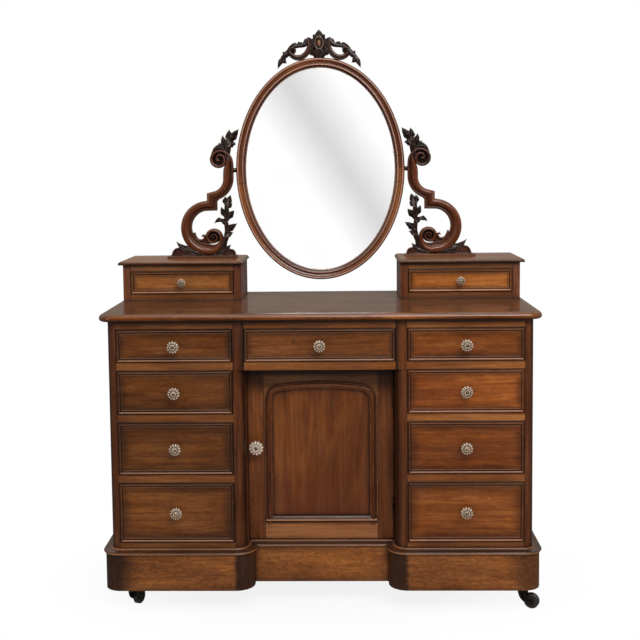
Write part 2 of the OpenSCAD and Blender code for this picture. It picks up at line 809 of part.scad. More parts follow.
module box_case(side) {
    half = box_w / 2;
    stile_y = box_y + front_t;
    back_face = box_y + box_d;
    color(MAHOGANY) translate([side * box_mid, 0, table_h]) {
        both_sides() {
            block([half - box_t, stile_y + glue, 0], [half, back_face, box_h]);
            block([half - box_stile, box_y, 0], [half, stile_y, box_h]);
            block([half - box_t - glue - runner_w / 2, stile_y + glue, box_t + glue],
                  [half - box_t - glue, back_face - box_t - glue, box_rail_low]);
        }
        block([box_stile + glue - half, box_y, 0], [half - box_stile - glue, stile_y, box_rail_low]);
        block([box_stile + glue - half, box_y, box_h - box_rail_high],
              [half - box_stile - glue, stile_y, box_h]);
        block([box_t + glue - half, back_face - box_t, 0], [half - box_t - glue, back_face, box_h]);
        block([box_t + glue - half, stile_y + glue, 0], [half - box_t - glue, back_face - box_t - glue, box_t]);
    }
}

// Width of the lid's outer band that carries the moulded edge
lid_band = 60;

module lid_profile() {
    polygon(concat(
        [[-lid_band, 0], [-3, 0]],
        arc(-3, 3, 3, 3, -60, 0, 3),
        arc(-lid_over + 2, 3, lid_over - 2, lid_t - 3, 15, 90, 5),
        [[-lid_band, lid_t]]));
}

// A lid with its moulded edge on three sides: the common part of a front run and a side run
module box_lid() {
    x0 = -box_w / 2 - lid_inner_over;
    x1 = box_w / 2 + lid_over;
    y0 = box_y - lid_over;
    y1 = box_y + box_d;
    intersection() {
        union() {
            run_front(x0, x1, y0) lid_profile();
            block([x0, y0 + lid_band - 10, 0], [x1, y1, lid_t]);
        }
        union() {
            run_right(y0, y1, x1) lid_profile();
            mirror([1, 0, 0]) run_right(y0, y1, -x0) lid_profile();
            block([x0 + lid_band - 10, y0, 0], [x1 + 10 - lid_band, y1, lid_t]);
        }
    }
}

module box_lids() {
    color(MAHOGANY) both_sides() translate([box_mid, 0, lid_z]) box_lid();
}

// Mirror and its carved standards

// A closed loft through rings of points; the ends are capped unless the loft closes on itself
module loft(rings, closed = false) {
    n = len(rings[0]);
    m = len(rings);
    last = closed ? m - 1 : m - 2;
    sides = [for (i = [0:last], j = [0:n - 1])
        let (a = i * n, b = ((i + 1) % m) * n, k = (j + 1) % n)
        each [[a + j, b + j, b + k], [a + j, b + k, a + k]]];
    caps = closed ? [] : [[for (j = [0:n - 1]) j], [for (j = [n - 1:-1:0]) (m - 1) * n + j]];
    polyhedron(points = [for (ring = rings) each ring], faces = concat(sides, caps));
}

// Height of the frame moulding at stations from its outer edge to the sight edge
frame_section = [
    [0, 0], [0, 0.55], [0.06, 0.72], [0.14, 0.92], [0.24, 0.92], [0.30, 0.78],
    [0.45, 0.62], [0.62, 0.56], [0.70, 0.70], [0.80, 0.66], [1, 0.34], [1, 0],
];

function oval_point(a, b, angle, inward) =
    let (n = [cos(angle) / a, sin(angle) / b], k = norm(n))
    [a * cos(angle) - inward * n[0] / k, b * sin(angle) - inward * n[1] / k];

module mirror_frame() {
    steps = 96;
    color(MAHOGANY) translate([0, mirror_y, mirror_z]) loft(
        [for (i = [0:steps - 1]) [for (s = frame_section)
            let (p = oval_point(frame_a, frame_b, 360 * i / steps, s[0] * frame_w))
            [p[0], frame_d / 2 - backboard_t - glass_t - s[1] * (frame_d - backboard_t - glass_t), p[1]]]],
        closed = true);
}

// A flat oval plate as wide as the frame's line drawn in by a margin
module oval_plate(inward, y0, y1) {
    translate([0, y1, mirror_z]) rotate([90, 0, 0]) linear_extrude(y1 - y0)
        polygon([for (i = [0:71]) oval_point(frame_a, frame_b, 5 * i, inward)]);
}

glass_y = mirror_y + frame_d / 2 - backboard_t - glass_t;

module mirror_glass() {
    color(SILVER) oval_plate(frame_w - 12, glass_y + glue, glass_y + glass_t);
}

module mirror_backboard() {
    color(PINE) oval_plate(6, glass_y + glass_t + glue, glass_y + glass_t + backboard_t);
}

// Section of a carved band: flat behind and full in front
band_section = [
    [-1, -1], [-1, 0.1], [-0.72, 0.66], [-0.3, 0.94], [0.3, 0.94], [0.72, 0.66], [1, 0.1], [1, -1],
];

// One ring of a band: its centre, the direction across it and its half width
function band_ring(c, across, half, depth) =
    [for (s = band_section) [c[0] + across[0] * s[0] * half, -s[1] * depth / 2, c[1] + across[1] * s[0] * half]];

// Stations of a smooth curve through the given ones, each [x, z, half width]
function smooth(p, steps) = concat(
    [for (i = [0:len(p) - 2], k = [0:steps - 1])
        let (t = k / steps, a = p[max(i - 1, 0)], b = p[i], c = p[i + 1], d = p[min(i + 2, len(p) - 1)])
        b + (c - a) * t / 2 + (2 * a - 5 * b + 4 * c - d) * t * t / 2 + (3 * b - a - 3 * c + d) * t * t * t / 2],
    [p[len(p) - 1]]);

// Rings of a band that follows the stations
function path_rings(p, depth) =
    [for (i = [0:len(p) - 1])
        let (ahead = p[min(i + 1, len(p) - 1)] - p[max(i - 1, 0)], k = norm([ahead[0], ahead[1]]))
        band_ring(p[i], [ahead[1], -ahead[0]] / k, p[i][2], depth)];

// Rings along an arc whose radius and half width change evenly
function arc_rings(c, r0, r1, a0, a1, h0, h1, depth, steps) =
    [for (i = [0:steps]) let (t = i / steps, a = a0 + (a1 - a0) * t, d = [cos(a), sin(a)])
        band_ring(c + d * (r0 + (r1 - r0) * t), -d, h0 + (h1 - h0) * t, depth)];

// Rings along a volute that closes in on its eye and then runs round it
function volute_rings(c, r0, r1, a0, a1, h0, h1, depth, steps, r_power, h_power) =
    [for (i = [1:steps]) let (t = i / steps, a = a0 + (a1 - a0) * t, d = [cos(a), sin(a)])
        band_ring(c + d * (r1 + (r0 - r1) * pow(1 - t, r_power)), -d,
                  h1 + (h0 - h1) * pow(1 - t, h_power), depth)];

// The sunk ground inside a volute with a small dome in its eye
module eye(c, ground, r, depth) {
    translate([c[0], 0, c[1]]) rotate([90, 0, 0]) {
        translate([0, 0, 1 - depth / 2]) cylinder(h = depth * 0.55, r = ground, $fn = 24);
        cylinder(h = depth * 0.22, r = r, $fn = 16);
        translate([0, 0, depth * 0.21]) cylinder(h = depth * 0.2, r1 = r, r2 = r * 0.4, $fn = 16);
    }
}

// A flat-backed rounded lump, used as one station of a leaf
module lump(p, r, depth) {
    translate([p[0], 0, p[1]]) rotate([90, 0, 0]) translate([0, 0, -depth * 0.3]) {
        cylinder(h = depth * 0.5, r = r, $fn = 8);
        cylinder(h = depth * 0.8, r = r * 0.35, $fn = 5);
    }
}

// A carved leaf from its root over its belly to its tip
module leaf(root, belly, tip, r, depth) {
    hull() {
        lump(root, r * 0.55, depth);
        lump(belly, r, depth);
    }
    hull() {
        lump(belly, r, depth);
        lump(tip, 0.8, depth * 0.6);
    }
}

// A chain of leaves through stations of [x, z, radius]
module stem(stations, depth) {
    for (i = [0:len(stations) - 2]) hull() {
        lump(stations[i], stations[i][2], depth);
        lump(stations[i + 1], stations[i + 1][2], depth);
    }
}

// Centres of the carved scrolls and their eyes, from the middle line and above the base plate
low_c = [350.5, 86];
low_eye = [334, 57];
high_c = [341, 239];
high_eye = [315, 300];
// Middle radii and half widths of the scroll bands
low_r = 68;
low_half = 15.5;
high_r = 55;
high_half = 15;

// The lower scroll: three quarters of a circle that runs into a volute
module low_scroll(d) {
    foot = low_c + low_r * [cos(-86), sin(-86)] - low_eye;
    loft(concat(
        [band_ring([low_c[0] - 29, low_c[1] + low_r + 1], [0, -1], low_half, d)],
        arc_rings(low_c, low_r + 1, low_r - 0.5, 90, -86, low_half, low_half + 3, d, 16),
        volute_rings(low_eye, norm(foot), 20.5, atan2(foot[1], foot[0]), -430, low_half + 3, 5.5, d, 24, 4.5, 3)));
    eye(low_eye, 21, 6, d);
}

// The upper scroll: a quarter circle, a short upright and a volute
module high_scroll(d) {
    side_x = high_c[0] - high_r;
    loft(concat(
        [band_ring([high_c[0] - 2, high_c[1] - high_r], [0.05, 1], 12.5, d)],
        arc_rings(high_c, high_r, high_r, -97, -180, 13, high_half, d, 9),
        [band_ring([side_x + 1, high_c[1] + 25], [1, 0], high_half, d)],
        volute_rings(high_eye, 37.5, 19.5, -136, -500, high_half - 0.5, 5, d, 22, 4.5, 5)));
    eye(high_eye, 19, 5, d);
}

// The leaves along the inner side, from the foot up to the upper scroll
module stem_leaves(d) {
    stem([[302, 22, 7], [301, 40, 6], [295, 60, 6], [293, 82, 5.5], [293, 110, 5.5]], d);
    stem([[293, 110, 5.5], [291, 132, 6.5], [292, 152, 6], [288, 164, 8], [290, 178, 7]], d);
    leaf([296, 62], [285, 66], [273, 73], 6, d);
    leaf([294, 78], [279, 88], [260, 99], 7.5, d);
    leaf([295, 84], [305, 104], [316, 112], 5.5, d);
    leaf([312, 112], [318, 110], [330, 99], 5, d);
    leaf([292, 118], [279, 128], [271, 139], 6.5, d);
    leaf([295, 124], [305, 136], [310, 150], 6, d);
    leaf([290, 150], [282, 158], [276, 160], 5.5, d);
    leaf([289, 164], [283, 174], [281, 186], 5.5, d);
}

// The leaves that stand on the upper scroll
module top_leaves(d) {
    stem([[290, 312, 8], [286, 326, 8.5], [284, 345, 8.5], [283, 362, 8]], d);
    leaf([283, 358], [282, 374], [280, 388], 8, d);
    leaf([282, 356], [268, 370], [252, 389], 8, d);
    leaf([285, 342], [272, 346], [261, 345], 6.5, d);
    leaf([287, 340], [296, 354], [299, 371], 6.5, d);
    leaf([294, 326], [314, 331], [335, 316], 6.5, d);
    leaf([292, 328], [305, 338], [315, 349], 6, d);
}

// The leaves on the base plate on either side of the lower scroll
module foot_leaves(d) {
    leaf([386, 11], [427, 23], [448, 41], 8, d);
    leaf([386, 9], [439, 9], [469, 1], 9, d);
    leaf([431, 8], [451, 14], [465, 4], 9, d);
    leaf([325, 6], [301, 16], [282, 32], 8, d);
    leaf([321, 5], [287, 8], [265, 1], 8, d);
}

// The right standard stands over X from its base plate's inner end to its outer end
module standard() {
    d = standard_d;
    leaf_d = d * 0.8;
    union() {
        low_scroll(d);
        high_scroll(d);
        block([low_c[0] - 29.5, 1 - d / 2, 139.5], [low_c[0] + 2.5, d / 2 - 1, 193.5]);
        leaf([374, 40], [369, 52], [360, 58], 5, leaf_d);
        stem_leaves(leaf_d);
        top_leaves(leaf_d);
        foot_leaves(leaf_d);
    }
}

// The foot of the standard is cut flat where it stands on its plate
module placed_standard(side) {
    color(MAHOGANY) mirror([side < 0 ? 1 : 0, 0, 0]) translate([0, mirror_y, base_z + base_t + glue])
        intersection() {
            standard();
            block([200, -standard_d, 0], [520, standard_d, 420]);
        }
}

module base_plates() {
    color(MAHOGANY) both_sides()
        block([base_in, mirror_y - base_d / 2, base_z], [base_out, mirror_y + base_d / 2, base_z + base_t]);
}

// Inner edge of the standards at the height of the pivots, and the pivots' collar and socket floor
socket_x = high_c[0] - high_r - high_half + 0.5;
collar_t = 1.5;
socket_floor = 1;

module pivot_sockets() {
    color(BRASS) both_sides() translate([socket_x, mirror_y, mirror_z]) rotate([0, -90, 0]) difference() {
        cylinder(h = socket_x - frame_a - glue - collar_t - slip, r = socket_r);
        translate([0, 0, socket_floor]) cylinder(h = socket_x - frame_a, r = pivot_r + bore_gap);
    }
}

module mirror_pivots() {
    color(BRASS) both_sides() translate([frame_a + glue, mirror_y, mirror_z]) rotate([0, 90, 0]) {
        cylinder(h = collar_t, r = socket_r - 0.5);
        cylinder(h = socket_x - frame_a - glue - socket_floor - slip, r = pivot_r);
    }
}

// Height of the frame's outer line above the pivots at a distance from the middle
function frame_rise(x) = frame_b * sqrt(1 - x * x / (frame_a * frame_a));

// Stations of the crest's scroll, from its shoulder over the frame into its eye
crest_scroll = [
    [31, 58, 4], [29.5, 46, 6], [31, 32, 6.5], [38, 16, 7], [52, 3.5, 7], [67, 1, 6.5],
    [81, 5, 6.5], [90, 15, 6.5], [91, 25, 6], [85, 31, 5.5], [77, 30, 4.5], [74, 24, 3],
];

module crest_half() {
    d = 20;
    leaf_d = 16;
    loft(path_rings(smooth(crest_scroll, 2), d));
    eye([83, 23], 12.5, 4, d);
    stem([[30, 55, 7], [42, 41.5, 7.5], [52, 37, 6], [64, 35.5, 5.2], [77, 33, 5.2]], leaf_d);
    leaf([32, 50], [34, 57], [34, 65], 6, leaf_d);
    leaf([54, 37], [59, 41], [61, 46.5], 5, leaf_d);
    stem([[88, 16, 8.5], [98, 5, 8.5], [107, -8, 8]], leaf_d);
    leaf([104, -4], [115, -18], [125.5, -32], 7.5, leaf_d);
    leaf([92, 12], [101, 15], [108, 19.5], 6, leaf_d);
    leaf([98, 0], [101, -8], [99, -15], 6, leaf_d);
    leaf([16, 34], [24, 20], [25, 8], 6, leaf_d);
    leaf([7, 30], [13, 14], [16, 1], 6, 18);
    leaf([8, 60], [13, 64], [17, 68.5], 5, leaf_d);
}

// The raised oval rim round the crest's cabochon
module crest_rim() {
    rim = [14.5, 19.5];
    band = 3;
    rotate([90, 0, 0]) linear_extrude(11) difference() {
        polygon([for (i = [0:35]) [rim[0] * cos(10 * i), rim[1] * sin(10 * i)]]);
        polygon([for (i = [0:35]) [(rim[0] - band) * cos(10 * i), (rim[1] - band) * sin(10 * i)]]);
    }
}

module mirror_crest() {
    seat = 0.4;
    color(DARK_WOOD) translate([0, mirror_y, mirror_z + frame_b]) difference() {
        union() {
            both_sides() crest_half();
            rotate([90, 0, 0]) translate([0, 0, -7]) linear_extrude(9)
                polygon([[-14, -2], [-17, 4], [-34, 14], [-31, 52], [31, 52], [34, 14], [17, 4], [14, -2]]);
            stem([[0, 4, 12], [0, 22, 10], [0, 44, 14], [0, 60, 12]], 12);
            translate([0, 0, 44]) crest_rim();
            leaf([0, 60], [0, 70], [0, crest_h], 11, 18);
            translate([0, -2, 44]) scale([6, 6, 10.5] / 10.5) sphere(r = 10.5, $fn = 20);
        }
        translate([0, 0, -frame_b]) rotate([90, 0, 0]) linear_extrude(80, center = true)
            polygon([for (i = [0:95]) oval_point(frame_a, frame_b, 360 * i / 96, -seat)]);
    }
}

main_top();
side_panels();
rounded_stiles();
drawer_rails();
drawer_runners();
back_panels();
bottom_boards();
cupboard_boards();
cupboard_shelf();
plinth_boards();
plinth_moulding();
caster_plates();
box_case(-1);  // left_box_case
box_case(1);  // right_box_case
box_lids();
base_plates();
placed_standard(-1);  // left_standard
placed_standard(1);  // right_standard
pivot_sockets();
door_hinges();
pedestal_drawer(-1, 0);  // drawer_left_1
pedestal_drawer(-1, 1);  // drawer_left_2
pedestal_drawer(-1, 2);  // drawer_left_3
pedestal_drawer(-1, 3);  // drawer_left_4
pedestal_drawer(1, 0);  // drawer_right_1
pedestal_drawer(1, 1);  // drawer_right_2
pedestal_drawer(1, 2);  // drawer_right_3
pedestal_drawer(1, 3);  // drawer_right_4
drawer_centre();
box_drawer(-1);  // box_drawer_left
box_drawer(1);  // box_drawer_right
pedestal_knob(-1, 0);  // knob_left_1
pedestal_knob(-1, 1);  // knob_left_2
pedestal_knob(-1, 2);  // knob_left_3
pedestal_knob(-1, 3);  // knob_left_4
pedestal_knob(1, 0);  // knob_right_1
pedestal_knob(1, 1);  // knob_right_2
pedestal_knob(1, 2);  // knob_right_3
pedestal_knob(1, 3);  // knob_right_4
knob_centre();
box_knob(-1);  // box_knob_left
box_knob(1);  // box_knob_right
door_frame();
door_panel();
door_moulding();
door_knob();
door_hinge_leaves();
mirror_frame();
mirror_glass();
mirror_backboard();
mirror_crest();
mirror_pivots();
caster_horn(0);  // caster_horn_front_left
caster_horn(1);  // caster_horn_front_right
caster_horn(2);  // caster_horn_back_left
caster_horn(3);  // caster_horn_back_right
caster_wheel(0);  // caster_wheel_front_left
caster_wheel(1);  // caster_wheel_front_right
caster_wheel(2);  // caster_wheel_back_left
caster_wheel(3);  // caster_wheel_back_right
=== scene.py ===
"""Dressing table with jewel boxes and a swinging oval mirror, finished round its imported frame."""

import logging
import math
from dataclasses import dataclass, field, replace
from enum import Enum
from functools import reduce
from typing import Callable, ClassVar, Optional, Sequence, Union

import bpy
from mathutils import Matrix, Vector


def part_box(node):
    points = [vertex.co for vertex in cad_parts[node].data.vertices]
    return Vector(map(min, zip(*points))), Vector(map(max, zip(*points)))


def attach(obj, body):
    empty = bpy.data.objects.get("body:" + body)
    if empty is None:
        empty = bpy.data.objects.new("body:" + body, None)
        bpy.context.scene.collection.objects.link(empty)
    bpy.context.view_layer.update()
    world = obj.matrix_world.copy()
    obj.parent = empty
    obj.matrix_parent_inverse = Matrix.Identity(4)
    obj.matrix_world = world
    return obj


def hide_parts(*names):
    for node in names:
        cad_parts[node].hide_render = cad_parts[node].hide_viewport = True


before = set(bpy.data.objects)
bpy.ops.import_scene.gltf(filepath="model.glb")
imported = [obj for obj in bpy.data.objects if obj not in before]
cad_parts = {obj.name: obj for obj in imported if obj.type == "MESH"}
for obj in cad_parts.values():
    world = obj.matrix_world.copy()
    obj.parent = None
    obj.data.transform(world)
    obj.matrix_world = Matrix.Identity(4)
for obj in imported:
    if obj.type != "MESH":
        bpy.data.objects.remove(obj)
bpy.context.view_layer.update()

MM = 0.001
LOG = logging.getLogger("dressing_table")

Colour = tuple[int, int, int]
Pair = tuple[float, float]
Triple = tuple[float, float, float]
Quad = tuple[float, float, float, float]
Points = Sequence[Sequence[float]]
Rows = tuple[tuple[float, ...], ...]
Ring = list[Vector]
Socket = bpy.types.NodeSocket
Value = Union[float, Sequence[float], Socket, "Wire"]

# Linear colours of dark specks, joints and waxed corners, and of painted shade and shadow lines between and
# on the boards
WAX_AND_SHADE_DARK = (0.006, 0.003, 0.002, 1)
SPECK_AND_SHADE_DARK = (0.008, 0.004, 0.003, 1)
SEAM_AND_SHADE_DARK = (0.007, 0.0035, 0.0025, 1)
JOINT_AND_SHADE_DARK = (0.01, 0.005, 0.003, 1)
QUIRK_DARK = (0.012, 0.006, 0.004, 1)

# What mottling, and rubbing with painted highlights on the arrises, multiply the wood's colour by
MOTTLE_DARK = (0.62, 0.55, 0.5, 1)
MOTTLE_PALE = (1.3, 1.25, 1.15, 1)
RUBBED_AND_LIT = (2.1, 2.0, 1.8, 1)


class Grain(Enum):
    """The direction in which a board's fibres run, as the turn that brings it to X."""

    ALONG_X = (0.0, 0.0, 0.0)
    ALONG_Y = (0.0, 0.0, -math.pi / 2)
    ALONG_Z = (0.0, math.pi / 2, 0.0)


class Side(Enum):
    """The left or right half of the table, as the sign of X."""

    LEFT = -1
    RIGHT = 1

    @property
    def word(self) -> str:
        """The side's name as the frame spells it."""
        return self.name.lower()


def linear(colour: Colour) -> Quad:
    """Turn a display colour into Blender's linear one.

    Args:
        colour: Red, green and blue from 0 to 255.

    Returns:
        The linear colour, opaque.
    """
    parts = [c / 255 for c in colour]
    red, green, blue = [c / 12.92 if c <= 0.04045 else ((c + 0.055) / 1.055) ** 2.4 for c in parts]
    return red, green, blue, 1.0


class Wire:
    """An output in a shader tree, which does its sums by adding Math nodes."""

    def __init__(self, graph: "Graph", socket: Socket) -> None:
        """Keep the graph and the output's socket."""
        self.graph = graph
        self.socket = socket

    def __add__(self, other: Value) -> "Wire":
        """The sum of both values."""
        return self.graph.math("ADD", self, other)

    def __sub__(self, other: Value) -> "Wire":
        """This value less the other one."""
        return self.graph.math("SUBTRACT", self, other)

    def __rsub__(self, other: float) -> "Wire":
        """A number less this value."""
        return self.graph.math("SUBTRACT", other, self)

    def __mul__(self, other: Value) -> "Wire":
        """The product of both values."""
        return self.graph.math("MULTIPLY", self, other)

    def __truediv__(self, other: Value) -> "Wire":
        """This value over the other one."""
        return self.graph.math("DIVIDE", self, other)

    def __gt__(self, other: Value) -> "Wire":
        """1 where this value is the larger one, and 0 elsewhere."""
        return self.graph.math("GREATER_THAN", self, other)

    def __lt__(self, other: Value) -> "Wire":
        """1 where this value is the smaller one, and 0 elsewhere."""
        return self.graph.math("LESS_THAN", self, other)

    def __abs__(self) -> "Wire":
        """The value without its sign."""
        return self.graph.math("ABSOLUTE", self)

    def toward(self, other: Value, share: "Wire") -> "Wire":
        """The value, moved toward another one by a share of the way."""
        return share * self.graph.math("SUBTRACT", other, self) + self

    def folded(self, size: float) -> "Wire":
        """The value going up and down between 0 and a size."""
        return self.graph.math("PINGPONG", self, size)

    def ramp(self, low: float, high: float, start: float = 0.0, end: float = 1.0) -> "Wire":
        """Map the value smoothly from one range to another, and hold it at the ends.

        Args:
            low: Where the result is start.
            high: Where the result is end.
            start: The result at low.
            end: The result at high.

        Returns:
            The mapped value.
        """
        inputs = {"Value": self, "From Min": low, "From Max": high, "To Min": start, "To Max": end}
        return self.graph.wire("MapRange", inputs, "Result", interpolation_type="SMOOTHSTEP")

    def bands(self, rows: Rows) -> Value:
        """Draw soft bands and keep the strongest at each place.

        Args:
            rows: Where each band starts to rise, is full, starts to fall and ends, and its strength.

        Returns:
            The strength from 0 to 1.
        """
        return self.graph.strongest([
            self.ramp(rise, full, 0, strength) * self.ramp(fall, end, 1, 0)
            for rise, full, fall, end, strength in rows
        ])

    def lines(self, rows: Rows) -> Value:
        """Draw soft lines and keep the strongest at each place.

        Args:
            rows: The middle, half width and strength of each line.

        Returns:
            The strength from 0 to 1.
        """
        return self.graph.strongest([
            abs(self - middle).ramp(0, half, strength, 0) for middle, half, strength in rows
        ])


class Graph:
    """A short way to add shader nodes to a tree and to join them."""

    def __init__(self, tree: bpy.types.NodeTree) -> None:
        """Keep the tree that the nodes go into."""
        self.tree = tree

    def put(self, socket: Socket, value: Value) -> None:
        """Link an output to an input, or set the input to a constant.

        Args:
            socket: The input.
            value: A wire, a socket, a number or a row of numbers.
        """
        if isinstance(value, Wire):
            value = value.socket
        if isinstance(value, bpy.types.NodeSocket):
            self.tree.links.new(value, socket)
        else:
            socket.default_value = value

    def add(self, kind: str, inputs: Optional[dict] = None, **settings: object) -> bpy.types.Node:
        """Add a node.

        Args:
            kind: The node's type, without its ShaderNode prefix.
            inputs: Values of the inputs, by name or place.
            settings: Values of the node's own settings.

        Returns:
            The new node.
        """
        node = self.tree.nodes.new(kind if kind.startswith("Node") else "ShaderNode" + kind)
        for name, value in settings.items():
            setattr(node, name, value)
        for name, value in (inputs or {}).items():
            self.put(node.inputs[name], value)
        return node

    def wire(
        self, kind: str, inputs: Optional[dict] = None, output: Union[int, str] = 0, **settings: object
    ) -> Wire:
        """Add a node and return one of its outputs.

        Args:
            kind: The node's type, without its ShaderNode prefix.
            inputs: Values of the inputs, by name or place.
            output: The output's name or place.
            settings: Values of the node's own settings.

        Returns:
            The output.
        """
        return Wire(self, self.add(kind, inputs, **settings).outputs[output])

    def outputs(self, kind: str, inputs: Optional[dict] = None, **settings: object) -> dict[str, Wire]:
        """Add a node and return all of its outputs.

        Args:
            kind: The node's type, without its ShaderNode prefix.
            inputs: Values of the inputs, by name or place.
            settings: Values of the node's own settings.

        Returns:
            The outputs, by name.
        """
        node = self.add(kind, inputs, **settings)
        return {output.name: Wire(self, output) for output in node.outputs}

    def math(self, operation: str, *values: Value) -> Wire:
        """Do one operation on numbers."""
        return self.wire("Math", dict(enumerate(values)), operation=operation)

    def strongest(self, values: Sequence[Value]) -> Value:
        """The largest of some values, or 0 where there are none."""
        return reduce(lambda one, other: self.math("MAXIMUM", one, other), values, 0.0)

    def mix(self, amount: Value, first: Value, second: Value, blend: str = "MIX") -> Wire:
        """Mix two colours by an amount."""
        return self.wire("Mix", {0: amount, 6: first, 7: second}, 2, data_type="RGBA", blend_type=blend)

    def place(self, kind: str = "Object") -> Wire:
        """The coordinates of the table or, as UV, those of the piece's own strip."""
        return self.wire("TexCoord", output=kind)

    def axes(self, vector: Value) -> list[Wire]:
        """The three numbers of a vector."""
        return list(self.outputs("SeparateXYZ", {0: vector}).values())

    def scaled(self, vector: Value, scale: Sequence[float]) -> Wire:
        """A vector scaled along each axis."""
        return self.wire("VectorMath", {0: vector, 1: scale}, operation="MULTIPLY")

    def length(self, vector: Value) -> Wire:
        """The length of a vector."""
        return self.wire("VectorMath", {0: vector}, "Value", operation="LENGTH")

    def turned(self, vector: Value, grain: Grain) -> Value:
        """Coordinates whose X runs along the grain."""
        still = grain is Grain.ALONG_X
        return vector if still else self.wire("Mapping", {"Vector": vector, "Rotation": grain.value})

    def noise(
        self, vector: Value, size: Union[float, Sequence[float]], detail: float = 2.0, distortion: float = 0.0
    ) -> Wire:
        """Add a noise pattern.

        Args:
            vector: The coordinates.
            size: How many spots there are in a metre, in all directions or along each axis.
            detail: How many finer layers it has.
            distortion: How far it is stirred.

        Returns:
            Its value from 0 to 1.
        """
        even = isinstance(size, (int, float))
        inputs = {"Vector": vector if even else self.scaled(vector, size), "Scale": size if even else 1.0}
        return self.wire("TexNoise", {**inputs, "Detail": detail, "Distortion": distortion}, "Fac")

    def occlusion(self, distance: Value, samples: int = 4, **settings: object) -> Wire:
        """How open a place is to its surroundings: 0 in a corner and 1 in the open."""
        return self.wire("AmbientOcclusion", {"Distance": distance}, "AO", samples=samples, **settings)

    def bump(self, strength: float, distance: float, height: Wire, normal: Optional[Wire] = None) -> Wire:
        """The normal of a surface raised by a pattern.

        Args:
            strength: How much of the relief shows.
            distance: The relief's height in metres.
            height: The pattern.
            normal: The normal under the relief, or None for the mesh's own.

        Returns:
            The raised normal.
        """
        inputs = {"Strength": strength, "Distance": distance, "Height": height}
        if normal is not None:
            inputs["Normal"] = normal
        return self.wire("Bump", inputs)


